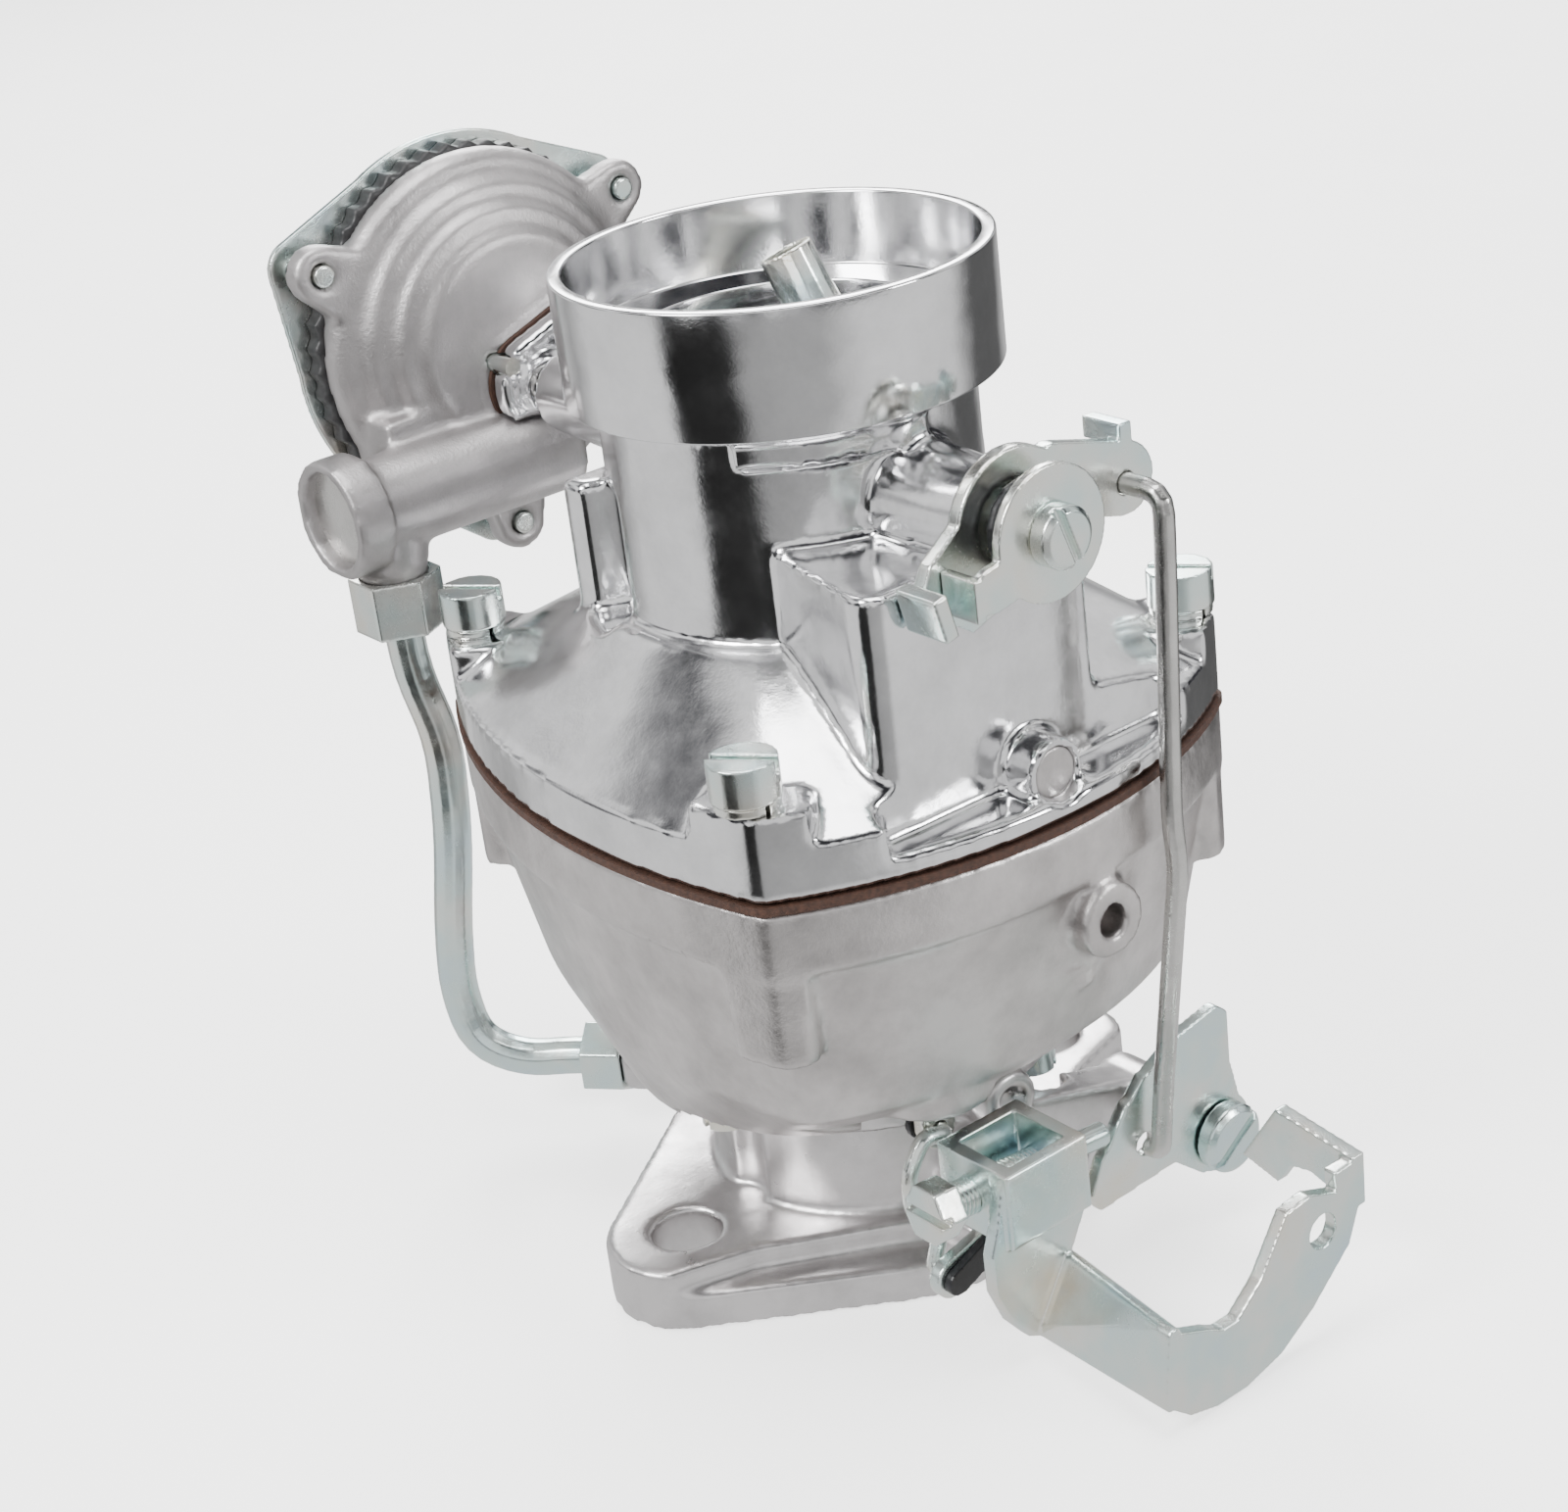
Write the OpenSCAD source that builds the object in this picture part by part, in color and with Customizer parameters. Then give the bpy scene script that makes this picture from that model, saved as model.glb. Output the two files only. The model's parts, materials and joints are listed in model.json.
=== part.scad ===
// One-barrel downdraft carburettor with an automatic choke, as a bench assembly of separate pieces.
// Millimetres. The origin is the centre of the throttle bore on the mounting face, +Z runs up the bore
// and +X runs along the throttle shaft towards the linkage.

/* [Mounting flange and throttle body] */
// Distance between the two mounting stud holes
stud_spacing = 74.6; // [62:0.1:90]
// Radius of a mounting stud hole
stud_hole_r = 5.4; // [4:0.1:6.5]
// Thickness of the mounting flange
flange_t = 10; // [6:0.5:11]
// Radius of the rounded flange end round a stud hole
flange_end_r = 12.5; // [11:0.5:16]
// Half width of the flange across the bore
flange_half_w = 34; // [30:0.5:37]
// Radius of the throttle bore
throttle_r = 19; // [15:0.25:20.5]
// Outside radius of the throttle body
neck_r = 24.5; // [24:0.25:26]
// Height of the throttle shaft above the mounting face
throttle_z = 15.5; // [15:0.25:17]
// Top of the throttle body, where the float bowl sits
body_top = 34; // [32:0.5:36]
// Radius of the throttle shaft
throttle_shaft_r = 4; // [3:0.1:4.5]

/* [Float bowl and cover] */
// Height of the joint between the float bowl and its cover
joint_z = 79; // [74:0.5:84]
// Thickness of the casting walls
wall = 3.2; // [2.6:0.1:4]
// Height of the band round the top of the float bowl
band_h = 10; // [7:0.5:14]
// Radius of the narrowest part of the venturi
venturi_r = 16; // [13:0.25:17]
// Outside radius of the main barrel inside the float bowl
barrel_r = 24.5; // [24:0.25:25.5]
// Thickness of the joint gaskets
gasket_t = 1.2; // [0.8:0.1:1.6]
// Radius of the choke bore
choke_r = 21.5; // [19:0.25:22]
// Outside radius of the air cleaner collar
collar_r = 31.25; // [29:0.05:33]
// Wall of the air cleaner collar
collar_wall = 2.05; // [1.6:0.05:3]
// Height of the air cleaner collar
collar_h = 18; // [14:0.5:22]
// Overall height from the mounting face to the top of the collar
overall_h = 152.8; // [150:0.1:158]
// Height of the choke shaft
choke_z = 122; // [120.5:0.25:123.5]
// Radius of the choke shaft
choke_shaft_r = 2.6; // [2:0.1:3]

/* [Linkage] */
// Thickness of the linkage plates
plate_t = 2.3; // [1.6:0.1:2.5]
// Radius of the rod between the choke lever and the fast idle cam
rod_r = 1.6; // [1.2:0.1:1.8]
// Radius of the accelerator pump rod
pump_rod_r = 2; // [1.5:0.1:2.5]
// Radius of the hole for the throttle cable or rod in the throttle lever
cable_hole_r = 2.7; // [2:0.1:3.2]
// Radius of the idle stop screw
stop_screw_r = 2.5; // [2:0.1:2.8]

/* [Automatic choke] */
// Radius of the circle of the three thermostat screws
ear_r = 32.8; // [32:0.1:36]
// Outside radius of the choke housing
housing_r = 29; // [28:0.25:30]
// Radius of the vacuum piston
piston_r = 5; // [4:0.1:5.5]
// Outside radius of the vacuum tube
tube_r = 3.2; // [2.5:0.1:3.6]

/* [Fits] */
// Radial clearance of a shaft or piston that turns or slides in its bore
run_gap = 0.05; // [0.02:0.01:0.1]
// Gap that keeps moving pieces off their neighbours
free_gap = 0.4; // [0.3:0.05:0.6]
// Radius of a cover screw shank
screw_r = 2.4; // [2:0.1:2.6]

/* [Hidden] */
$fa = 6;
$fs = 0.8;

bowl_z0 = body_top + gasket_t;
cover_z0 = joint_z + gasket_t;
collar_z0 = overall_h - collar_h;
shoulder_z = overall_h - 11;
neck_out_r = 27;
lug_top = cover_z0 + 12.8;
cover_screw_xy = [[34.7, -40.3], [34.7, 40.3], [-48.8, -28], [-48.8, 28]];
body_screw_a = [30, 150, 270];
body_screw_pcd_r = throttle_r + 8;

// ---- small helpers -------------------------------------------------------------------------------
module xcyl(r, x0, x1, y = 0, z = 0, r2 = -1)
  translate([x0, y, z]) rotate([0, 90, 0]) cylinder(h = x1 - x0, r1 = r, r2 = r2 < 0 ? r : r2);
module ycyl(r, y0, y1, x = 0, z = 0, r2 = -1)
  translate([x, y0, z]) rotate([-90, 0, 0]) cylinder(h = y1 - y0, r1 = r, r2 = r2 < 0 ? r : r2);
module zcyl(r, z0, z1, x = 0, y = 0, r2 = -1)
  translate([x, y, z0]) cylinder(h = z1 - z0, r1 = r, r2 = r2 < 0 ? r : r2);
// A plate whose outline is given in (y, z) and which is t thick from x0
module yz_plate(x0, t) translate([x0, 0, 0]) rotate([90, 0, 90]) linear_extrude(t) children();
// A plate whose outline is given in (x, z) and which is t thick from y0
module xz_plate(y0, t) translate([0, y0 + t, 0]) rotate([90, 0, 0]) linear_extrude(t) children();
// A bar with round ends, as a flat outline from a to b
module slot2d(a, b, r) {
  d = b - a;
  translate(a) circle(r);
  translate(b) circle(r);
  translate(a) rotate(atan2(d[1], d[0])) translate([0, -r]) square([norm(d), 2 * r]);
}
// Points of the round corner at b on the way from a to c
function unit(v) = v / norm(v);
function corner(a, b, c, r, n) = let (d = min(r, norm(a - b) / 2, norm(c - b) / 2),
  p = b + unit(a - b) * d, q = b + unit(c - b) * d)
  [for (i = [0:n]) let (t = i / n) p * (1 - t) * (1 - t) + b * 2 * t * (1 - t) + q * t * t];
function bent(p, r, n) = concat([p[0]],
  [for (i = [1:len(p) - 2]) each corner(p[i - 1], p[i], p[i + 1], r, n)], [p[len(p) - 1]]);
function dirs(p) = [for (i = [0:len(p) - 1]) unit(p[min(i + 1, len(p) - 1)] - p[max(i - 1, 0)])];
function sides(t, n, i = 0) = i >= len(t) ? [] :
  let (v = n - (n * t[i]) * t[i], u = v / norm(v)) concat([u], sides(t, u, i + 1));
// A round wire of radius r through the points p, with the start direction not along up
module wire(p, r, up, n = 12) {
  t = dirs(p);
  u = sides(t, up);
  k = len(p);
  pts = [for (i = [0:k - 1]) for (j = [0:n - 1]) let (a = 360 * j / n)
    p[i] + r * (cos(a) * u[i] + sin(a) * cross(t[i], u[i]))];
  faces = concat([[for (j = [0:n - 1]) j]],
    [for (i = [0:k - 2]) for (j = [0:n - 1])
      [i * n + (j + 1) % n, i * n + j, (i + 1) * n + j, (i + 1) * n + (j + 1) % n]],
    [[for (j = [n - 1:-1:0]) (k - 1) * n + j]]);
  polyhedron(points = pts, faces = faces, convexity = 6);
}
// A coil spring round Z from z0 to z1
module coil(r, wire_r, z0, z1, turns, steps = 14)
  wire([for (i = [0:turns * steps]) let (a = 360 * i / steps, f = i / (turns * steps))
    [r * cos(a), r * sin(a), z0 + wire_r + (z1 - z0 - 2 * wire_r) * f]], wire_r, [1, 0, 0], 6);
// Slotted screw along +Z: the head starts at z = 0 and the shank points down
module slotted_screw(head_r, head_h, shank_r, shank_l, slot_w, slot_d)
  difference() {
    union() {
      cylinder(h = head_h, r = head_r);
      translate([0, 0, -shank_l]) cylinder(h = shank_l + 0.5, r = shank_r);
    }
    translate([-head_r - 1, -slot_w / 2, head_h - slot_d]) cube([2 * head_r + 2, slot_w, slot_d + 1]);
  }

// ---- the outline shared by the bowl, its gasket and its cover --------------------------------------
side_arc = [6.5, 67.3, 115];
end_arc = [-25, 0, 77];
back_arc = [114, 0, 172];
module outline(inset = 0)
  offset(r = 3, $fn = 48) offset(delta = -3 - inset) intersection() {
    translate([side_arc[0], side_arc[1]]) circle(side_arc[2], $fn = 144);
    translate([side_arc[0], -side_arc[1]]) circle(side_arc[2], $fn = 144);
    translate([end_arc[0], end_arc[1]]) circle(end_arc[2], $fn = 120);
    translate([back_arc[0], back_arc[1]]) circle(back_arc[2], $fn = 180);
  }
module outline_slab(inset, z, t) translate([0, 0, z]) linear_extrude(t) outline(inset);

// ---- throttle body -----------------------------------------------------------------------------------
cam_x = 44;
cam_t = 2;
cam_pivot = [30.7, 13.4];
cam_pin_r = 3.4;
shaft_boss_r = 7.5;
shaft_boss_x = 36;
vac_dir = 218;
vac_end = [-51, -18.9, 12];
vac_nut_l = 8;
mix_a = 125;
mix_z = 21;
mix_r = 2;
function vac_point(d) = vac_end + d * [-cos(vac_dir), -sin(vac_dir), 0];
module vac_axis() translate(vac_end) rotate([0, 0, vac_dir + 180]) rotate([0, 90, 0]) children();

// Round centre and two round ends with straight sides between them
module flange() {
  c = stud_spacing / 2;
  s = (flange_half_w - flange_end_r) / c - 0.01;
  k = sqrt(1 - s * s) - 0.003;
  cylinder(h = flange_t, r = flange_half_w);
  for (m = [-1, 1]) {
    zcyl(flange_end_r, 0, flange_t, 0, m * c);
    linear_extrude(flange_t) polygon([[flange_half_w * k, m * flange_half_w * s],
      [flange_end_r * k, m * (c + flange_end_r * s)], [-flange_end_r * k, m * (c + flange_end_r * s)],
      [-flange_half_w * k, m * flange_half_w * s]]);
  }
}
module throttle_body() color([0.80, 0.80, 0.81]) difference() {
  union() {
    flange();
    zcyl(neck_r, 0, body_top);
    zcyl(neck_r + 6, body_top - 6.2, body_top);
    xcyl(shaft_boss_r, -shaft_boss_x, shaft_boss_x, 0, throttle_z);
    // arm that carries the fast idle cam
    yz_plate(24, 7.4) polygon([[4, 16], [4, 25], [cam_pivot[0] + 0.5, cam_pivot[1] + 4.2],
      [cam_pivot[0] - 0.5, cam_pivot[1] - 4.2]]);
    xcyl(5, 22.4, cam_x - free_gap, cam_pivot[0], cam_pivot[1]);
    // lug with a round dimple above the shaft
    xcyl(5, 20, 33.5, 1, body_top - 6.5);
    // boss for the vacuum tube
    vac_axis() translate([0, 0, vac_nut_l - 1]) cylinder(h = 22, r = 5.5);
    rotate([0, 0, mix_a]) xcyl(4.5, neck_r - 3, neck_r + 5, 0, mix_z);
  }
  zcyl(throttle_r, -1, body_top + 1);
  for (m = [-1, 1]) zcyl(stud_hole_r, -1, flange_t + 1, 0, m * stud_spacing / 2);
  xcyl(throttle_shaft_r + run_gap, -shaft_boss_x - 1, shaft_boss_x + 1, 0, throttle_z);
  xcyl(cam_pin_r - 0.88, cam_x - 12, cam_x + 1, cam_pivot[0], cam_pivot[1]);
  xcyl(2.4, 31.5, 34, 1, body_top - 6.5);
  // thinner step of the flange on the linkage side, between the ends
  for (m = [-1, 1]) translate([0, 0, flange_t - 4]) linear_extrude(6)
    polygon([[8, m * 47], [12, m * 34], [27, m * 9], [50, m * 9], [50, m * 52]]);
  for (a = body_screw_a) rotate([0, 0, a]) {
    zcyl(screw_r + 0.2, body_top - 7, body_top + 1, body_screw_pcd_r);
    zcyl(4.6, flange_t - 0.3, body_top - 6, body_screw_pcd_r);
  }
  vac_axis() translate([0, 0, vac_nut_l - 2]) cylinder(h = 60, r = 1.6);
  vac_axis() translate([0, 0, vac_nut_l - 2]) cylinder(h = 9, r = tube_r + 0.05);
  rotate([0, 0, mix_a]) xcyl(mix_r + run_gap, throttle_r - 6, neck_r + 6, 0, mix_z);
}
module throttle_body_gasket() color([0.36, 0.24, 0.16]) difference() {
  zcyl(neck_r + 6, body_top, bowl_z0);
  zcyl(throttle_r + 0.6, body_top - 1, bowl_z0 + 1);
  for (a = body_screw_a) rotate([0, 0, a]) zcyl(screw_r + 0.3, body_top - 1, bowl_z0 + 1, body_screw_pcd_r);
}
module throttle_body_screws() color([0.72, 0.76, 0.80])
  for (a = body_screw_a) rotate([0, 0, a]) translate([body_screw_pcd_r, 0, body_top - 6]) mirror([0, 0, 1])
    slotted_screw(4, 3.4, screw_r, 6 + gasket_t + 6, 1, 1.4);
module idle_mixture_screw() color([0.76, 0.74, 0.66]) rotate([0, 0, mix_a]) difference() {
  union() {
    xcyl(mix_r, throttle_r + 3, neck_r + 16, 0, mix_z);
    xcyl(0.4, throttle_r + 0.4, throttle_r + 3, 0, mix_z, mix_r);
    xcyl(3.6, neck_r + 13, neck_r + 18, 0, mix_z);
  }
  translate([neck_r + 16.6, -4, mix_z - 0.5]) cube([3, 8, 1]);
}
module idle_mixture_spring() color([0.55, 0.56, 0.58]) rotate([0, 0, mix_a]) translate([0, 0, mix_z])
  rotate([0, 90, 0]) coil(mix_r + 0.9, 0.45, neck_r + 5.1, neck_r + 12.9, 5);

// ---- float bowl ---------------------------------------------------------------------------------------
pump_xy = [34, -14.5];
pump_bore_r = 7;
pump_floor = bowl_z0 + 6;
ball_xy = [21, -27.5];
ball_r = 2;
boss_yz = [6, 62.5];
lug_r = 6;
lug_land_r = 8.5;
module bowl_shape() {
  // tapered shell down to a low belly on the -Y side
  hull() {
    outline_slab(1.6, joint_z - band_h, 0.1);
    outline_slab(7, bowl_z0 + 7, 0.1);
    translate([-6, 0, bowl_z0 - 9]) linear_extrude(0.1) circle(33, $fn = 64);
  }
}
module bowl_hollow() {
  hull() {
    outline_slab(1.6 + wall + 0.6, joint_z + 1, 0.1);
    outline_slab(7 + wall, bowl_z0 + 10, 0.1);
    translate([-6, 0, bowl_z0 - 9 + wall + 1]) linear_extrude(0.1) circle(29.5, $fn = 64);
  }
}
module float_bowl() color([0.78, 0.76, 0.76]) difference() {
  union() {
    difference() {
      union() {
        bowl_shape();
        outline_slab(0, joint_z - band_h, band_h);
      }
      bowl_hollow();
      // flat top of the bowl
      translate([-80, -80, joint_z]) cube([160, 160, 20]);
    }
    zcyl(barrel_r, bowl_z0, joint_z);
    zcyl(neck_r + 10, bowl_z0, bowl_z0 + 5);
    zcyl(pump_bore_r + 2.2, bowl_z0 + 2, joint_z - 3, pump_xy[0], pump_xy[1]);
    zcyl(ball_r + 2.5, bowl_z0 + 2, joint_z - 16, ball_xy[0], ball_xy[1]);
    // screw columns inside the corners
    intersection() {
      outline_slab(0.3, joint_z - 26, 25);
      union() for (p = cover_screw_xy) zcyl(lug_r, joint_z - 24, joint_z - 1, p[0], p[1], lug_r + 0.6);
    }
    // threaded boss, ring and spigot on the linkage side
    xcyl(8.4, 38, 48.6, boss_yz[0], boss_yz[1]);
    xcyl(5.6, 48, 53, boss_yz[0], boss_yz[1]);
    xcyl(1.6, 40, 48, boss_yz[0] - 1, boss_yz[1] - 10.5);
    // raised pad below the pump well
    yz_plate(39, 5.6) slot2d([-8, joint_z - 26], [-8, joint_z - 30], 6.5);
  }
  // space for the throttle body and the linkage below the bowl
  translate([0, 0, -1]) cylinder(h = bowl_z0 + 1, r = neck_r + 8.5);
  translate([26, -60, 0]) cube([60, 120, bowl_z0 + 1.5]);
  // venturi
  rotate_extrude() polygon([[0, bowl_z0 - 1], [throttle_r, bowl_z0 - 1], [throttle_r, bowl_z0 + 3],
    [venturi_r, bowl_z0 + 20], [venturi_r, bowl_z0 + 24], [choke_r, joint_z - 2], [choke_r, joint_z + 1],
    [0, joint_z + 1]]);
  for (a = body_screw_a) rotate([0, 0, a]) zcyl(screw_r, bowl_z0 - 1, bowl_z0 + 7, body_screw_pcd_r);
  for (p = cover_screw_xy) zcyl(screw_r, joint_z - 16, joint_z + 1, p[0], p[1]);
  zcyl(pump_bore_r, pump_floor, joint_z + 1, pump_xy[0], pump_xy[1]);
  zcyl(pump_rod_r + run_gap, bowl_z0 - 2, joint_z, pump_xy[0], pump_xy[1]);
  zcyl(ball_r + 0.3, bowl_z0 + 9, joint_z, ball_xy[0], ball_xy[1]);
  zcyl(ball_r - 0.6, bowl_z0 + 5, joint_z, ball_xy[0], ball_xy[1]);
  xcyl(2.5, 44, 54, boss_yz[0], boss_yz[1]);
  xcyl(booster_arm_r, 14, choke_r + 1, 0, booster_z);
}
module bowl_gasket() color([0.34, 0.17, 0.09]) difference() {
  outline_slab(-0.4, joint_z, gasket_t);
  difference() {
    outline_slab(5.4, joint_z - 1, gasket_t + 2);
    for (p = cover_screw_xy) zcyl(lug_r, joint_z - 2, joint_z + 5, p[0], p[1]);
    zcyl(barrel_r, joint_z - 2, joint_z + 5);
    // bridges between the centre ring and the rim
    translate([-3, -60, joint_z - 2]) cube([6, 120, 8]);
  }
  zcyl(choke_r + 0.5, joint_z - 1, joint_z + 3);
  for (p = cover_screw_xy) zcyl(screw_r + 0.3, joint_z - 1, joint_z + 5, p[0], p[1]);
}
booster_z = 66;
booster_arm_r = 2.6;
module booster_venturi() color([0.80, 0.79, 0.76]) difference() {
  union() {
    zcyl(8, 60, 70);
    xcyl(booster_arm_r, 6, choke_r + 1, 0, booster_z);
  }
  zcyl(6.2, 59, 62.5, 0, 0, 5.2);
  zcyl(5.2, 62, 71);
  xcyl(1.2, 0, choke_r + 2, 0, booster_z);
}
module pump_check_ball() color([0.8, 0.8, 0.82]) translate([ball_xy[0], ball_xy[1], bowl_z0 + 9 + ball_r - 0.25])
  sphere(ball_r);

// ---- accelerator pump -----------------------------------------------------------------------------------
eye_z = 31;
cup_z = 66;
cup_h = 6;
module pump_plunger() color([0.70, 0.72, 0.70]) difference() {
  union() {
    zcyl(pump_rod_r, eye_z + 4, cup_z + cup_h + 2, pump_xy[0], pump_xy[1]);
    // flattened eye at the bottom
    yz_plate(pump_xy[0] - 1, 2) slot2d([pump_xy[1], eye_z], [pump_xy[1], eye_z + 2.2], 3);
    zcyl(pump_bore_r - 1.2, cup_z + cup_h, cup_z + cup_h + 1.6, pump_xy[0], pump_xy[1]);
    zcyl(4, cup_z - 1.2, cup_z, pump_xy[0], pump_xy[1]);
  }
  xcyl(wire_r + 0.1, 30, 40, pump_xy[1], eye_z);
}
module pump_cup() color([0.15, 0.13, 0.12]) difference() {
  zcyl(pump_bore_r - 0.1, cup_z, cup_z + cup_h, pump_xy[0], pump_xy[1]);
  zcyl(pump_rod_r, cup_z - 1, cup_z + cup_h + 1, pump_xy[0], pump_xy[1]);
}
module pump_spring() color([0.6, 0.6, 0.62]) translate([pump_xy[0], pump_xy[1], 0])
  coil(pump_bore_r - 1.6, 0.5, pump_floor, cup_z - 0.05, 6);

// ---- pump link: a wire C between the pump rod and the throttle lever -------------------------------------
wire_r = 1.35;
link_x = 37;
pump_pin = [-19.5, 10.6];
module pump_link() color([0.78, 0.80, 0.80])
  wire(bent([[pump_xy[0] - 3.7, pump_xy[1], eye_z], [link_x, pump_xy[1], eye_z], [link_x, -19.2, eye_z + 2],
    [link_x, -22.6, 28], [link_x, -22.6, 22], [link_x, -18, 16], [link_x - 0.4, pump_pin[0], pump_pin[1]],
    [lever_x - 0.3, pump_pin[0], pump_pin[1]]], 2, 3), wire_r, [0, 0, 1], 8);
module link_clip_upper() color([0.06, 0.06, 0.06]) difference() {
  yz_plate(pump_xy[0] - 3.5, 1.2) slot2d([pump_xy[1], eye_z], [pump_xy[1] + 4, eye_z + 1], 2.8);
  xcyl(wire_r, 25, 40, pump_xy[1], eye_z);
}
module link_clip_lower() color([0.06, 0.06, 0.06])
  yz_plate(lever_x + plate_t, 1.4) slot2d(pump_pin, [-12.5, 13.6], 2.1);

// ---- throttle shaft and plate ---------------------------------------------------------------------------
closed_tilt = 10;
plate_gap = 0.2;
valve_t = 1.5;
module throttle_shaft() color([0.72, 0.73, 0.74]) difference() {
  union() {
    xcyl(throttle_shaft_r, -shaft_boss_x - 0.5, lever_x, 0, throttle_z);
    xcyl(throttle_shaft_r - 1, lever_x - 0.5, lever_x + plate_t, 0, throttle_z);
    xcyl(throttle_shaft_r + 0.3, lever_x + plate_t, lever_x + plate_t + 1.3, 0, throttle_z);
  }
  translate([0, 0, throttle_z]) rotate([closed_tilt, 0, 0]) {
    translate([-throttle_r, -6, -valve_t / 2]) cube([2 * throttle_r, 12, valve_t]);
    for (m = [-1, 1]) zcyl(1.5, -6, 6, m * throttle_r / 2, 0);
    for (m = [-1, 1]) zcyl(2.8, throttle_shaft_r - 1.2, 7, m * throttle_r / 2, 0);
  }
}
module throttle_plate() color([0.78, 0.68, 0.42]) translate([0, 0, throttle_z]) rotate([closed_tilt, 0, 0])
  difference() {
    zcyl(throttle_r - plate_gap, -valve_t / 2, valve_t / 2);
    for (m = [-1, 1]) zcyl(1.5, -6, 6, m * throttle_r / 2, 0);
  }
module throttle_plate_screws() color([0.76, 0.70, 0.5]) translate([0, 0, throttle_z]) rotate([closed_tilt, 0, 0])
  for (m = [-1, 1]) translate([m * throttle_r / 2, 0, throttle_shaft_r - 1.2])
    slotted_screw(2.6, 1.6, 1.45, 2 * throttle_shaft_r - 1, 0.7, 0.8);

// ---- throttle lever: hub plate, stop screw bracket and the arm for the cable ------------------------------
lever_x = 38.8;
web_x = 50.2;
arm_x = 77;
leg_y = [-18.5, -5.4];
bracket_z = [20.5, 32.5];
stop_x = 45;
stop_z = 24.6;
stop_tilt = -5;
strap_top = [-6.8, 13.8];
strap_low = [-12.7, 2.6];
arm_low = [-14.4, 4.2];
arm_top = [-13, 16.8];
cable_yz = [16.7, 17.7];
tab_y = 24.4;
module stop_axis() translate([stop_x, 0, stop_z]) rotate([stop_tilt, 0, 0]) children();
module throttle_lever() color([0.74, 0.78, 0.76]) difference() {
  union() {
    // hub plate with the pump arm
    yz_plate(lever_x, plate_t) {
      translate([0, throttle_z]) circle(8);
      slot2d([0, throttle_z], pump_pin, 3.1);
      polygon([[leg_y[0], bracket_z[1]], [leg_y[1] + plate_t, bracket_z[1]], [6, throttle_z + 5.5],
        [-6, throttle_z - 5], [leg_y[0], bracket_z[0]]]);
    }
    // two legs that hold the stop screw
    for (y = leg_y) translate([lever_x, y, bracket_z[0]])
      cube([web_x + 1.2 + plate_t - lever_x, plate_t, bracket_z[1] - bracket_z[0]]);
    translate([web_x + 1.2, leg_y[0], bracket_z[0]])
      cube([plate_t, leg_y[1] + plate_t - leg_y[0], bracket_z[1] - bracket_z[0]]);
    // face plate, strap and arm
    yz_plate(web_x, plate_t)
      polygon([[leg_y[0], bracket_z[1] - 1], [leg_y[1] + plate_t, bracket_z[1] - 2],
        [leg_y[1] + plate_t, bracket_z[0]], strap_top, strap_low, [-16, 4.2], [-19, 8], [-21.4, 14],
        [-21.4, 20], [-20, 24]]);
    hull() {
      yz_plate(web_x, plate_t) slot2d(strap_low + [0, 1], strap_top - [0, 1], plate_t / 2, $fn = 12);
      yz_plate(arm_x, plate_t) slot2d(arm_low + [0, 1], arm_top - [0, 1], plate_t / 2, $fn = 12);
    }
    yz_plate(arm_x, plate_t) difference() {
      polygon(concat([arm_top + [-0.5, -0.5], arm_low + [-0.5, 0.5], [-11, 1.5], [-6, 0.2], [0, 0.1], [7.2, 1.9],
        [14, 6], [22, 12.9], [24.9, 20], [24.9, 26]], [[19.5, 25.8], [19.8, 22.6], [14.3, 24.7], [9.7, 24.1],
        [4, 16], [-0.8, 12.1], [-4, 12], [-6.5, 13.4]]));
      translate(cable_yz) circle(cable_hole_r);
    }
    // bent end tab
    xz_plate(tab_y - plate_t / 2, plate_t)
      polygon([[arm_x + plate_t, 26.5], [64.6, 28.6], [57.6, 18.1], [64.5, 16.2], [67, 20], [71, 20.7],
        [arm_x + plate_t, 18]]);
  }
  xcyl(throttle_shaft_r - 1, lever_x - 1, lever_x + plate_t + 1, 0, throttle_z);
  stop_axis() ycyl(stop_screw_r + run_gap, -26, 2);
}
stop_tip = 7.6;
module idle_stop_screw() color([0.72, 0.77, 0.80]) stop_axis() difference() {
  union() {
    ycyl(stop_screw_r, -23, 2);
    ycyl(stop_screw_r - 0.6, 1, stop_tip);
    ycyl(4.6, -27, -22.5, $fn = 6);
  }
  translate([-6, -28, -0.6]) cube([12, 2.6, 1.2]);
}

// ---- fast idle cam ---------------------------------------------------------------------------------------
cam_hole = [15.3, 18.8];
// Steps of the cam edge: [angle about the pivot, radius]
cam_steps = [[183.5, 25.4], [177, 27.0], [165, 25.4], [160, 24.2], [152, 23.6], [144, 23.2], [142, 22.6],
  [132, 22.4], [130, 21.9], [110, 21.6], [88, 21.8]];
module fast_idle_cam() color([0.75, 0.80, 0.77]) difference() {
  union() {
    yz_plate(cam_x, cam_t) polygon(concat([for (s = cam_steps) cam_pivot + s[1] * [cos(s[0]), sin(s[0])]],
      [cam_pivot + [2.9, 20], cam_pivot + [2.9, 11.5], cam_pivot + [4.6, 4], cam_pivot + [4.6, -4],
      cam_pivot + [-4, -5.5], cam_pivot + [-9.7, -0.7]]));
    xcyl(6.4, cam_x, cam_x + cam_t, cam_pivot[0], cam_pivot[1]);
  }
  xcyl(cam_pin_r + run_gap, cam_x - 1, cam_x + cam_t + 1, cam_pivot[0], cam_pivot[1]);
  xcyl(rod_r + 0.25, cam_x - 1, cam_x + cam_t + 1, cam_hole[0], cam_hole[1]);
}
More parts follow.
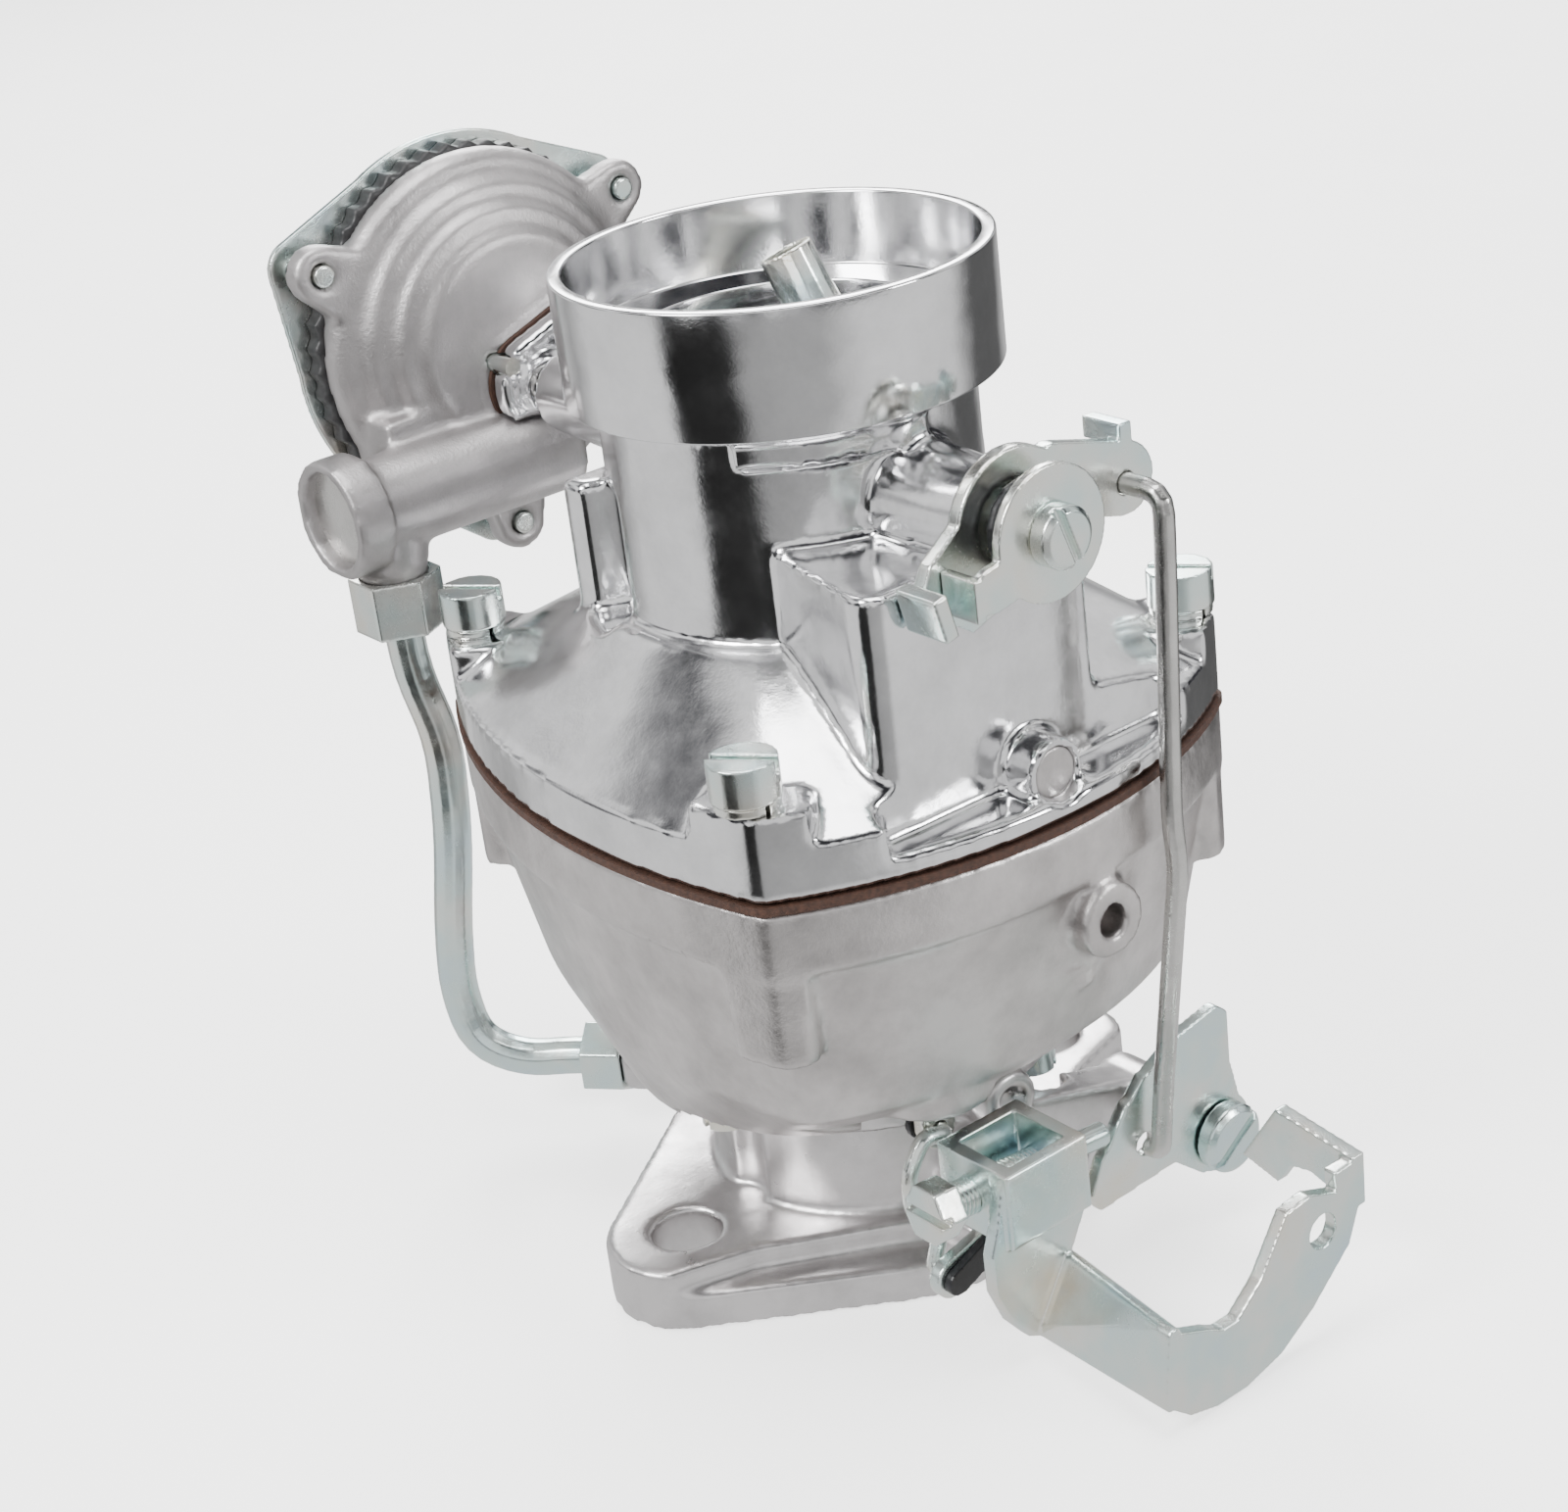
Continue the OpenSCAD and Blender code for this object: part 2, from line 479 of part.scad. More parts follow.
module cam_screw() color([0.76, 0.79, 0.82]) translate([cam_x - free_gap, cam_pivot[0], cam_pivot[1]])
  rotate([0, 90, 0]) difference() {
    union() {
      cylinder(h = cam_t + 2 * free_gap, r = cam_pin_r);
      translate([0, 0, cam_t + 2 * free_gap]) cylinder(h = 2.4, r = 5.5);
      translate([0, 0, cam_t + 2 * free_gap + 2.4]) cylinder(h = 0.8, r1 = 5.5, r2 = 4.4);
      translate([0, 0, -9]) cylinder(h = 10, r = cam_pin_r - 0.9);
    }
    rotate([0, 0, 125]) translate([-7, -0.6, cam_t + 2 * free_gap + 1.8]) cube([14, 1.2, 3]);
  }

// ---- air horn: the cover of the float bowl, with the choke bore and the air cleaner collar -----------------
slots = [[241, 116], [53, 127.5]];
plug_x = 49.6;
rim_h = 8;
rim_low = 3.6;
tower_x = 43.8;
tower_y = [-24, 14];
tower_top = 118;
boss_x = 43.2;
pad_x = -66.5;
arm_gap_x = [-61.5, -57];
seat_xy = [-34, 0];
seat_z = cover_z0;
inlet_z = cover_z0 + 9.8;
plug_yz = [0.6, cover_z0 + 6.2];
module horn_pad2d() {
  slot2d([0, choke_z], [19, choke_z + 7], 8);
  slot2d([0, choke_z], [19, choke_z - 4], 8);
  slot2d([19, choke_z + 7], [19, choke_z - 4], 8);
}
pad_screws = [[15, choke_z + 9], [21, choke_z - 6], [-5.4, choke_z + 4]];
module air_horn() color([0.84, 0.84, 0.85]) difference() {
  union() {
    difference() {
      union() {
        outline_slab(0, cover_z0, rim_h);
        hull() {
          outline_slab(0.8, cover_z0 + rim_h, 0.1);
          outline_slab(6, cover_z0 + rim_h + 2.4, 0.1);
          zcyl(neck_out_r + 2, 103, 104);
        }
      }
      // low flat rim below the linkage
      translate([tower_x - 0.3, -27, cover_z0 + rim_low]) cube([20, 54, 20]);
      // hollow under the dome, over the float chamber
      hull() {
        outline_slab(8, cover_z0 - 1, 0.1);
        outline_slab(9, cover_z0 + 4, 0.1);
        zcyl(neck_out_r, 98, 99);
      }
    }
    zcyl(choke_r + 3.4, cover_z0, 104);
    // raised corners for the cover screws
    intersection() {
      outline_slab(0, cover_z0, lug_top - cover_z0);
      union() for (p = cover_screw_xy) zcyl(lug_land_r, cover_z0 - 1, lug_top + 1, p[0], p[1]);
    }
    // neck and collar
    zcyl(neck_out_r, 98, collar_z0 + 1);
    zcyl(collar_r, collar_z0, overall_h);
    // ledge below the collar
    translate([0, 0, collar_z0 - 4.4]) rotate_extrude(angle = 56, start = -53)
      translate([neck_out_r - 2, 0]) square([4.4, 5]);
    // tower on the linkage side
    translate([0, 0, cover_z0 + 3]) linear_extrude(tower_top - cover_z0 - 3) {
      polygon([[-4, -15], [tower_x - 4.5, tower_y[0] + 0.05], [tower_x - 0.05, tower_y[0] + 4.5],
        [tower_x, tower_y[1]], [2, tower_y[1]], [-4, 0]]);
      translate([tower_x - 4, tower_y[0] + 4]) circle(4);
    }
    // block beside the left slot
    translate([-24, -24.7, 88]) cube([10, 18, 33.5]);
    // choke shaft boss on the linkage side
    xcyl(9, 18, boss_x, 0, choke_z, 7);
    // short boss and arm towards the choke housing
    xcyl(6.5, arm_gap_x[1], -20, 0, choke_z, 8);
    xcyl(5, pad_x, arm_gap_x[0], 0, choke_z, 4.6);
    yz_plate(pad_x, 4) horn_pad2d();
    translate([pad_x, 11, choke_z - 6]) cube([48, 12, 12]);
    // boss for the power piston and hangers of the float
    zcyl(power_bore_r + 1.8, cover_z0, power_top + 1.4, power_xy[0], power_xy[1]);
    for (m = [-1, 1]) translate([hinge_xz[0] - 2.1, m * hanger_y - 1.5, hinge_xz[1] - 1.9])
      cube([4.2, 3, cover_z0 - hinge_xz[1] + 9]);
    // inlet boss at the back and plug boss at the linkage side
    ycyl(7.5, 20, 44.5, seat_xy[0], inlet_z);
    zcyl(6.5, cover_z0, inlet_z, seat_xy[0], seat_xy[1]);
    xcyl(5, 38, plug_x, plug_yz[0], plug_yz[1]);
  }
  // choke bore, shoulder and collar bore
  rotate_extrude() polygon([[0, cover_z0 - 1], [choke_r, cover_z0 - 1], [choke_r, shoulder_z - 1],
    [choke_r + 1.2, shoulder_z], [collar_r - collar_wall, shoulder_z], [collar_r - collar_wall, overall_h + 1],
    [0, overall_h + 1]]);
  // slots beside the neck
  for (v = slots) rotate([0, 0, v[0]]) yz_plate(choke_r - 3, 14) slot2d([0, v[1] - 2.4], [0, v[1] + 2.4], 2.6);
  // recess of the neck beside the left slot
  rotate([0, 0, slots[0][0]]) translate([choke_r + 3.2, -4.6, 102]) cube([14, 9.4, 20]);
  xcyl(choke_shaft_r + run_gap, -70, boss_x + 1, 0, choke_z);
  for (p = cover_screw_xy) zcyl(screw_r + 0.2, cover_z0 - 1, lug_top + 1, p[0], p[1]);
  // fuel way: needle seat from below, inlet from the back
  zcyl(4, cover_z0 - 1, inlet_z - 1, seat_xy[0], seat_xy[1]);
  zcyl(2, cover_z0 - 1, inlet_z + 2, seat_xy[0], seat_xy[1]);
  ycyl(2.4, 0, 46, seat_xy[0], inlet_z);
  ycyl(5.5, 34, 46, seat_xy[0], inlet_z);
  for (p = pad_screws) xcyl(1.6, pad_x - 1, pad_x + 3.8, p[0], p[1]);
  // clearance round the vacuum cylinder
  ycyl(7.6 + free_gap, cyl_y[0], 24, cyl_x, cyl_z);
  xcyl(3.6, plug_x - 4, 53, plug_yz[0], plug_yz[1]);
  ycyl(hinge_pin_r, -20, 20, hinge_xz[0], hinge_xz[1]);
  // bores for what hangs from the cover
  zcyl(5.5, cover_z0 - 1, cover_z0 + 5, well_xy[0], well_xy[1]);
  zcyl(power_bore_r, cover_z0 - 1, power_top, power_xy[0], power_xy[1]);
  zcyl(pump_rod_r + 2, cover_z0 - 1, cover_z0 + 6, pump_xy[0], pump_xy[1]);
  translate(vent_path[0]) rotate([-64, 0, 0]) cylinder(h = 9, r = vent_r);
}
module cover_screws() color([0.72, 0.78, 0.82])
  for (p = cover_screw_xy) translate([p[0], p[1], lug_top + 1.4]) rotate([0, 0, 35])
    slotted_screw(4.9, 5.6, screw_r, 1.4 + lug_top - joint_z + 14, 1.3, 2);
module cover_lock_washers() color([0.66, 0.70, 0.74])
  for (p = cover_screw_xy) difference() {
    zcyl(4.6, lug_top, lug_top + 1.4, p[0], p[1]);
    zcyl(screw_r + 0.1, lug_top - 1, lug_top + 3, p[0], p[1]);
    translate([p[0], p[1] - 0.3, lug_top - 1]) cube([6, 0.6, 4]);
  }
module cover_plug() color([0.76, 0.76, 0.76]) xcyl(3.6, plug_x - 4, plug_x - 0.4, plug_yz[0], plug_yz[1]);
vent_r = 4;
vent_path = [[1, 19.5, 131], [1, 11, 134.5], [1, 6, 142], [-2, 4, 151]];
module vent_tube() color([0.76, 0.80, 0.84]) difference() {
  wire(bent(vent_path, 5, 4), vent_r, [1, 0, 0], 16);
  wire(bent([vent_path[0] + [0, 2, -1], vent_path[1], vent_path[2], vent_path[3] + [-1, -0.6, 3]], 5, 4),
    vent_r - 0.7, [1, 0, 0], 16);
}

// ---- what hangs from the cover into the bowl --------------------------------------------------------------
well_xy = [32.5, 13.5];
power_xy = [29.5, 24];
power_bore_r = 4.5;
power_top = cover_z0 + 10;
well_low = 47;
module main_well() color([0.79, 0.77, 0.74]) difference() {
  union() {
    zcyl(5.5, well_low, cover_z0 + 4.9, well_xy[0], well_xy[1]);
    zcyl(6.1, joint_z - 8, joint_z - 0.2, well_xy[0], well_xy[1]);
    translate([power_xy[0] - 4, well_xy[1], well_low]) cube([7, power_xy[1] - well_xy[1], 9]);
    zcyl(5.2, well_low, well_low + 9, power_xy[0], power_xy[1]);
  }
  zcyl(3, well_low - 1, cover_z0 + 2, well_xy[0], well_xy[1]);
  zcyl(3.2, well_low - 1, well_low + 10, power_xy[0], power_xy[1]);
}
module main_jet() color([0.80, 0.66, 0.34]) difference() {
  union() {
    zcyl(3, well_low - 0.5, well_low + 5, well_xy[0], well_xy[1]);
    zcyl(4.2, well_low - 2.2, well_low, well_xy[0], well_xy[1]);
  }
  zcyl(0.8, well_low - 3, well_low + 6, well_xy[0], well_xy[1]);
}
module power_valve() color([0.78, 0.66, 0.38]) difference() {
  zcyl(3.2, well_low, well_low + 6, power_xy[0], power_xy[1]);
  zcyl(1.7, well_low + 1.5, well_low + 7, power_xy[0], power_xy[1]);
}
module power_piston() color([0.75, 0.73, 0.66]) {
  zcyl(power_bore_r - run_gap, power_top - 8.5, power_top - 2, power_xy[0], power_xy[1]);
  zcyl(1.3, well_low + 8.5, power_top - 8, power_xy[0], power_xy[1]);
}
module power_spring() color([0.6, 0.6, 0.62]) translate([power_xy[0], power_xy[1], 0])
  coil(2.6, 0.4, well_low + 9.05, power_top - 8.55, 9, 12);
module needle_seat() color([0.80, 0.68, 0.36]) difference() {
  union() {
    zcyl(4, seat_z, inlet_z - 1.2, seat_xy[0], seat_xy[1]);
    zcyl(5.4, seat_z - 1.8, seat_z, seat_xy[0], seat_xy[1], $fn = 6);
  }
  zcyl(needle_r + 0.3, seat_z - 3, seat_z + 4.2, seat_xy[0], seat_xy[1]);
  zcyl(1.2, seat_z, inlet_z + 1, seat_xy[0], seat_xy[1]);
}
needle_r = 2.2;
needle_top = seat_z + 4;
module float_needle() color([0.70, 0.66, 0.55]) {
  zcyl(needle_r, tongue_z + 1.6, seat_z + 2.6, seat_xy[0], seat_xy[1]);
  zcyl(0.8, tongue_z + 0.1, tongue_z + 2, seat_xy[0], seat_xy[1]);
  zcyl(needle_r, seat_z + 2.6, needle_top, seat_xy[0], seat_xy[1], 1);
}
hinge_xz = [-42.5, 74.5];
hinge_pin_r = 1.2;
hanger_y = 13.5;
float_z = 60;
pontoon_r = 5.4;
pontoon_y = 30.6;
pontoon_x = [-13, 15];
arm_t = 1.2;
tongue_z = hinge_xz[1] - 1.8;
module float() color([0.82, 0.70, 0.40]) difference() {
  union() {
    for (m = [-1, 1]) {
      xcyl(pontoon_r, pontoon_x[0], pontoon_x[1], m * pontoon_y, float_z);
      hull() {
        translate([hinge_xz[0] - 1, m * 9 - 2, tongue_z - arm_t]) cube([3, 4, arm_t]);
        translate([pontoon_x[0] + 1, m * pontoon_y - 2.5, float_z + 3.6]) cube([5, 5, arm_t]);
      }
      translate([hinge_xz[0] - 2.4, m * 9 - 1, tongue_z - arm_t]) cube([4.8, 2, 5.4]);
    }
    // tongue under the needle
    translate([hinge_xz[0] - 1.6, -10, tongue_z - arm_t]) cube([4, 20, arm_t]);
    translate([hinge_xz[0], -3, tongue_z - arm_t]) cube([12.5, 6, arm_t]);
  }
  ycyl(hinge_pin_r + run_gap, -12, 12, hinge_xz[0], hinge_xz[1]);
}
module float_hinge_pin() color([0.75, 0.75, 0.76]) ycyl(hinge_pin_r, -hanger_y - 2, hanger_y + 2, hinge_xz[0], hinge_xz[1]);
module inlet_fitting() color([0.80, 0.68, 0.38]) difference() {
  union() {
    ycyl(5.5, 36, 45, seat_xy[0], inlet_z);
    ycyl(8.4, 44.5, 50, seat_xy[0], inlet_z, $fn = 6);
    ycyl(6, 50, 58, seat_xy[0], inlet_z);
  }
  ycyl(2.2, 35, 50, seat_xy[0], inlet_z);
  ycyl(4.4, 49, 59, seat_xy[0], inlet_z);
}

// ---- choke shaft, plate and outer levers --------------------------------------------------------------------
choke_tilt = -8;
choke_lever_x = boss_x + 1;
choke_pin = [19.9, choke_z - 0.6];
trip_x = choke_lever_x + plate_t + 5.2;
module choke_shaft() color([0.74, 0.75, 0.76]) difference() {
  union() {
    xcyl(choke_shaft_r, inner_x - 2.2, trip_x + plate_t, 0, choke_z);
    xcyl(choke_shaft_r + 1, boss_x + 0.3, choke_lever_x - 0.3, 0, choke_z);
  }
  translate([0, 0, choke_z]) rotate([choke_tilt, 0, 0]) {
    translate([-choke_r, -6, -0.6]) cube([2 * choke_r, 12, 1.2]);
    for (m = [-1, 1]) zcyl(1.2, -6, 6, m * choke_r / 2, 0);
  }
}
module choke_plate() color([0.82, 0.80, 0.72]) translate([0, 0, choke_z]) rotate([choke_tilt, 0, 0]) difference() {
  zcyl(choke_r - 0.25, -0.6, 0.6);
  for (m = [-1, 1]) zcyl(1.2, -6, 6, m * choke_r / 2, 0);
}
module choke_plate_screws() color([0.76, 0.76, 0.70]) translate([0, 0, choke_z]) rotate([choke_tilt, 0, 0])
  for (m = [-1, 1]) translate([m * choke_r / 2, 0, choke_shaft_r])
    slotted_screw(2.4, 1.4, 1.15, 2 * choke_shaft_r + 0.5, 0.6, 0.7);
module choke_lever() color([0.76, 0.81, 0.79]) difference() {
  union() {
    yz_plate(choke_lever_x, plate_t) {
      translate([0, choke_z]) circle(10.4);
      slot2d([7, choke_z + 3.6], choke_pin + [0, 0.6], 5.2);
      polygon([[-9.5, choke_z + 3], [-2, choke_z - 10.2], [-9, choke_z - 12.5], [-18, choke_z - 6.4],
        [-15.4, choke_z - 1.2]]);
    }
    // bent stops
    xz_plate(choke_pin[0] - 0.6, plate_t) polygon([[choke_lever_x - 5, choke_z + 4.6],
      [choke_lever_x + plate_t, choke_z + 4.6], [choke_lever_x + plate_t, choke_z + 7.8],
      [choke_lever_x - 5, choke_z + 7.8]]);
    translate([choke_lever_x, -18.4, choke_z - 9.6]) rotate([14, 0, 0]) cube([8, plate_t, 6.4]);
  }
  xcyl(choke_shaft_r + run_gap, 0, 80, 0, choke_z);
  xcyl(rod_r + run_gap, 40, 60, choke_pin[0], choke_pin[1]);
}
module choke_trip_lever() color([0.78, 0.82, 0.80]) difference() {
  union() {
    xcyl(9.4, trip_x, trip_x + 1.6, 0, choke_z);
    yz_plate(trip_x, 1.6) slot2d([-3, choke_z - 3], [-10.6, choke_z - 4.4], 3.2);
    translate([choke_lever_x + plate_t + 0.2, -14, choke_z - 8.2]) cube([trip_x - choke_lever_x - plate_t + 1.4, 1.6, 6]);
  }
  xcyl(choke_shaft_r, 0, 80, 0, choke_z);
}
module choke_lever_spring() color([0.09, 0.09, 0.10]) translate([0, 0, choke_z]) rotate([0, 90, 0])
  coil(6.2, 0.7, choke_lever_x + plate_t + 0.05, trip_x - 0.05, 3);
module choke_lever_screw() color([0.74, 0.79, 0.83]) translate([trip_x + 1.6, 0, choke_z]) rotate([0, 90, 0])
  difference() {
    union() {
      cylinder(h = 2.6, r = 4.4);
      translate([0, 0, 2.6]) cylinder(h = 0.7, r1 = 4.4, r2 = 3.5);
    }
    translate([0, 0, -1]) cylinder(h = plate_t + 0.7 - 1.6 + 1, r = choke_shaft_r);
    rotate([0, 0, 20]) translate([-6, -0.6, 1.9]) cube([12, 1.2, 3]);
  }

// ---- rod between the choke lever and the fast idle cam -------------------------------------------------------
rod_top_x = 53.4;
rod_low_x = 49;
module choke_rod() color([0.70, 0.69, 0.66])
  wire(bent([[choke_lever_x - 1.6, choke_pin[0], choke_pin[1]], [rod_top_x, choke_pin[0], choke_pin[1]],
    [rod_top_x, choke_pin[0] - 0.3, 112], [rod_top_x, 17.6, 74], [rod_top_x - 0.2, 18.4, 66],
    [rod_low_x, cam_hole[0] + 1.2, 28], [rod_low_x, cam_hole[0], cam_hole[1]],
    [cam_x + cam_t + 0.3, cam_hole[0], cam_hole[1]]], 3, 3), rod_r, [0, 0, 1], 10);

// ---- choke housing -----------------------------------------------------------------------------------------------
ch_z = choke_z + 6.5;
front_x = pad_x - gasket_t * 0.6 - 0.9;
pad_face_x = pad_x - gasket_t * 0.6;
back_x = front_x - 12.6;
inner_x = front_x - 6;
ear_a = [30, 150, 270];
cyl_x = -67;
cyl_z = choke_z - 11.6;
cyl_y = [-40, 4];
module ch_axis(x) translate([x, 0, ch_z]) rotate([0, -90, 0]) children();
function ear_pos(i) = ear_r * [cos(ear_a[i]), sin(ear_a[i])];
// Ear outline: circle r at distance d with straight sides that touch the circle of radius R
module ear2d(R, r, d) {
  s = (R - r) / d - 0.02;
  k = sqrt(1 - s * s) - 0.01;
  translate([d, 0]) circle(r);
  polygon([[R * s, R * k], [d + r * s, r * k], [d + r * s, -r * k], [R * s, -R * k]]);
}
module choke_housing() color([0.66, 0.65, 0.66]) difference() {
  union() {
    // stepped bell, turned about the axis of the thermostat
    ch_axis(0) rotate_extrude() polygon([[0, -front_x], [16.5, -front_x], [18, -front_x + 1.8],
      [20.5, -front_x + 2.2], [21.6, -front_x + 4.2], [24.2, -front_x + 4.8], [25.4, -front_x + 7],
      [27.8, -front_x + 7.8], [housing_r, -front_x + 9.6], [housing_r, -back_x], [0, -back_x]]);
    for (i = [0:2]) translate([back_x, 0, ch_z]) rotate([90, 0, 90]) linear_extrude(4.6)
      rotate(ear_a[i]) ear2d(12, 4.6, ear_r);
    yz_plate(front_x - 3, pad_face_x - front_x + 3) horn_pad2d();
    // vacuum cylinder with its end ring, and the tube boss
    ycyl(7.6, cyl_y[0] + 4, cyl_y[1], cyl_x, cyl_z);
    ycyl(9.6, cyl_y[0], cyl_y[0] + 6.4, cyl_x, cyl_z);
    translate([back_x + 0.5, -26, cyl_z + 3]) cube([11, 14, 8]);
    zcyl(5.4, cyl_z - 13, cyl_z, tube_top[0], tube_top[1]);
    zcyl(6, cyl_z - 9.6, cyl_z - 4, tube_top[0], tube_top[1]);
  }
  // cavity for the bimetal coil and the levers
  difference() {
    ch_axis(0) rotate_extrude() polygon([[0, -front_x + 3], [18.6, -front_x + 3], [24, -front_x + 8],
      [housing_r - 3, -front_x + 10], [housing_r - 3, -back_x + 1], [0, -back_x + 1]]);
    ycyl(7.6, cyl_y[0] + 4, -11, cyl_x, cyl_z);
  }
  ycyl(piston_r + run_gap, cyl_y[0] + 9, cyl_y[1] + 20, cyl_x, cyl_z);
  ycyl(piston_r - 1.2, cyl_y[0] + 3, cyl_y[1], cyl_x, cyl_z);
  ycyl(7.6, cyl_y[0] - 1, cyl_y[0] + 4, cyl_x, cyl_z);
  // slot in the front wall for the piston's link
  translate([piston_link_x - 0.6, -10, cyl_z]) cube([2.4, 20, 5.2]);
  zcyl(1.6, cyl_z - 20, cyl_z, tube_top[0], tube_top[1]);
  zcyl(tube_r + 0.05, cyl_z - 14, cyl_z - 8, tube_top[0], tube_top[1]);
  xcyl(choke_shaft_r + run_gap, -90, -60, 0, choke_z);
  for (p = pad_screws) xcyl(1.6, -90, -60, p[0], p[1]);
  for (p = pad_screws) xcyl(3.6, back_x - 1, front_x - 2.6, p[0], p[1]);
  for (i = [0:2]) xcyl(1.9, back_x - 1, back_x + 6, ear_pos(i)[0], ch_z + ear_pos(i)[1]);
}
module choke_housing_gasket() color([0.40, 0.22, 0.12]) difference() {
  yz_plate(pad_face_x, pad_x - pad_face_x) horn_pad2d();
  xcyl(choke_shaft_r + 0.6, -90, -50, 0, choke_z);
  for (p = pad_screws) xcyl(1.9, -90, -50, p[0], p[1]);
  ycyl(7.6 + free_gap, cyl_y[0], 24, cyl_x, cyl_z);
}
module choke_housing_screws() color([0.74, 0.78, 0.80])
  for (p = pad_screws) translate([front_x - 2.6, p[0], p[1]]) rotate([0, -90, 0])
    slotted_screw(3.3, 1.8, 1.6, 3 + pad_x - front_x + 3.2, 0.8, 0.8);
module choke_inner_lever() color([0.74, 0.74, 0.72]) difference() {
  union() {
    xcyl(4.4, inner_x - 1.4, inner_x + 0.6, 0, choke_z);
    yz_plate(inner_x - 1.4, 1.4) slot2d([0, choke_z], inner_pin, 2.2);
    yz_plate(inner_x - 1.4, 1.4) slot2d([0, choke_z], [4, choke_z + 15], 1.8);
    xcyl(1.2, inner_x - 8, inner_x, 4, choke_z + 15);
    xcyl(1.2, inner_x - 1, piston_link_x - 0.3, inner_pin[0], inner_pin[1]);
  }
  xcyl(choke_shaft_r, -90, -60, 0, choke_z);
}
inner_arm = 11.6;
inner_lead = 35;
inner_pin = [inner_arm * sin(inner_lead), choke_z - inner_arm * cos(inner_lead)];
link_l = 13;
piston_pin_y = inner_pin[0] - sqrt(link_l * link_l - pow(inner_pin[1] - cyl_z, 2));
module choke_piston() color([0.80, 0.72, 0.46]) difference() {
  ycyl(piston_r, piston_pin_y - 5, piston_pin_y + 3.4, cyl_x, cyl_z);
  translate([cyl_x - 10, piston_pin_y - 1.5, cyl_z - 4]) cube([7.4, 6, 8]);
}
piston_link_x = cyl_x - 3.8;
module choke_piston_link() color([0.72, 0.73, 0.74]) difference() {
  yz_plate(piston_link_x, 1.2) slot2d([piston_pin_y, cyl_z], inner_pin, 1.5);
  xcyl(0.9, -90, -60, inner_pin[0], inner_pin[1]);
}
module piston_plug() color([0.80, 0.80, 0.79]) ycyl(7.6, cyl_y[0] + 2.2, cyl_y[0] + 3.9, cyl_x, cyl_z);
module choke_baffle() color([0.70, 0.72, 0.72]) difference() {
  xcyl(housing_r - 3.2, back_x + 0.2, back_x + 0.9, 0, ch_z);
  // window for the tang of the inner lever
  translate([back_x - 1, 0, choke_z]) rotate([90, 0, 90]) rotate_extrude(angle = 94, start = -6)
    translate([12.6, 0]) square([5.6, 4]);
  xcyl(3, -90, -60, -16, ch_z - 10);
}
cover_flange_t = 3.4;
module thermostat_cover() color([0.30, 0.30, 0.31]) difference() {
  union() {
    // knurled rim
    translate([back_x - cover_flange_t, 0, ch_z]) rotate([90, 0, 90]) linear_extrude(cover_flange_t)
      polygon([for (i = [0:95]) let (r = i % 2 == 0 ? ear_r - 2.9 : ear_r - 3.9, a = 360 * i / 96)
        r * [cos(a), sin(a)]]);
    ch_axis(0) rotate_extrude() polygon([[0, -back_x + 1], [23, -back_x + 1], [22.4, -back_x + 11],
      [20.5, -back_x + 12.4], [0, -back_x + 12.4]]);
  }
  ch_axis(0) rotate_extrude() polygon([[0, -back_x - 1], [20.4, -back_x - 1], [20.4, -back_x + 10], [0, -back_x + 10]]);
  // index mark and the screwdriver cross in the end
  translate([back_x - 13.4, -9, ch_z - 1]) cube([1.6, 18, 2]);
}
retainer_x = back_x - cover_flange_t - 1.2;
module thermostat_retainer() color([0.80, 0.82, 0.82]) difference() {
  union() {
    xcyl(ear_r - 1.6, retainer_x, retainer_x + 1.2, 0, ch_z);
    for (a = ear_a) translate([retainer_x, 0, ch_z]) rotate([90, 0, 90]) linear_extrude(1.2)
      rotate(a) ear2d(ear_r - 1.6, 4.8, ear_r);
  }
  xcyl(23.6, retainer_x - 1, retainer_x + 3, 0, ch_z);
  for (i = [0:2]) xcyl(1.9, retainer_x - 1, retainer_x + 3, ear_pos(i)[0], ch_z + ear_pos(i)[1]);
}
module thermostat_screws() color([0.74, 0.78, 0.80])
  for (i = [0:2]) translate([retainer_x, ear_pos(i)[0], ch_z + ear_pos(i)[1]]) rotate([0, -90, 0])
    slotted_screw(3.4, 2.2, 1.75, 1.2 + cover_flange_t + 5.2, 0.9, 1);
// Bimetal strip: a flat spiral from the post in the cover out to its hook
coil_x = back_x - 9;
coil_w = 7;
function spiral_r(a) = 3 + 13.6 * a / 1440;
module bimetal_coil() color([0.70, 0.60, 0.42]) {
  yz_plate(coil_x, coil_w) translate([0, ch_z]) polygon(concat(
    [for (a = [0:15:1440]) (spiral_r(a) + 0.4) * [cos(a), sin(a)]],
    [for (a = [1440:-15:0]) (spiral_r(a) - 0.4) * [cos(a), sin(a)]]));
  xcyl(3.4, coil_x - 1, coil_x + coil_w, 0, ch_z);
}

// ---- vacuum tube ---------------------------------------------------------------------------------------------------
tube_top = [-67, -30.5];
nut_h = 9;
nut_z = cyl_z - 13 - 1.4 - nut_h + 3;
tube_path = [[-67, -30.5, nut_z + 9], [-67, -30.5, 82], [-63.8, -28.8, 71], [-63.8, -29.8, 55], [-66.4, -31.8, 36],
  [-68, -32, 24], [-65.5, -31.4, 15], [-59.5, -26.5, 11.5], vac_point(-3), vac_point(3), vac_point(vac_nut_l + 3)];
module vacuum_tube() color([0.74, 0.77, 0.78]) wire(bent(tube_path, 9, 4), tube_r, [1, 0, 0], 12);
module tube_nut() color([0.68, 0.72, 0.73]) difference() {
  zcyl(7.4, nut_z, nut_z + nut_h, tube_top[0], tube_top[1], $fn = 6);
  zcyl(tube_r + 0.05, nut_z - 1, nut_z + nut_h + 1, tube_top[0], tube_top[1]);
  zcyl(5.45, nut_z + 4.5, nut_z + nut_h + 1, tube_top[0], tube_top[1]);
}
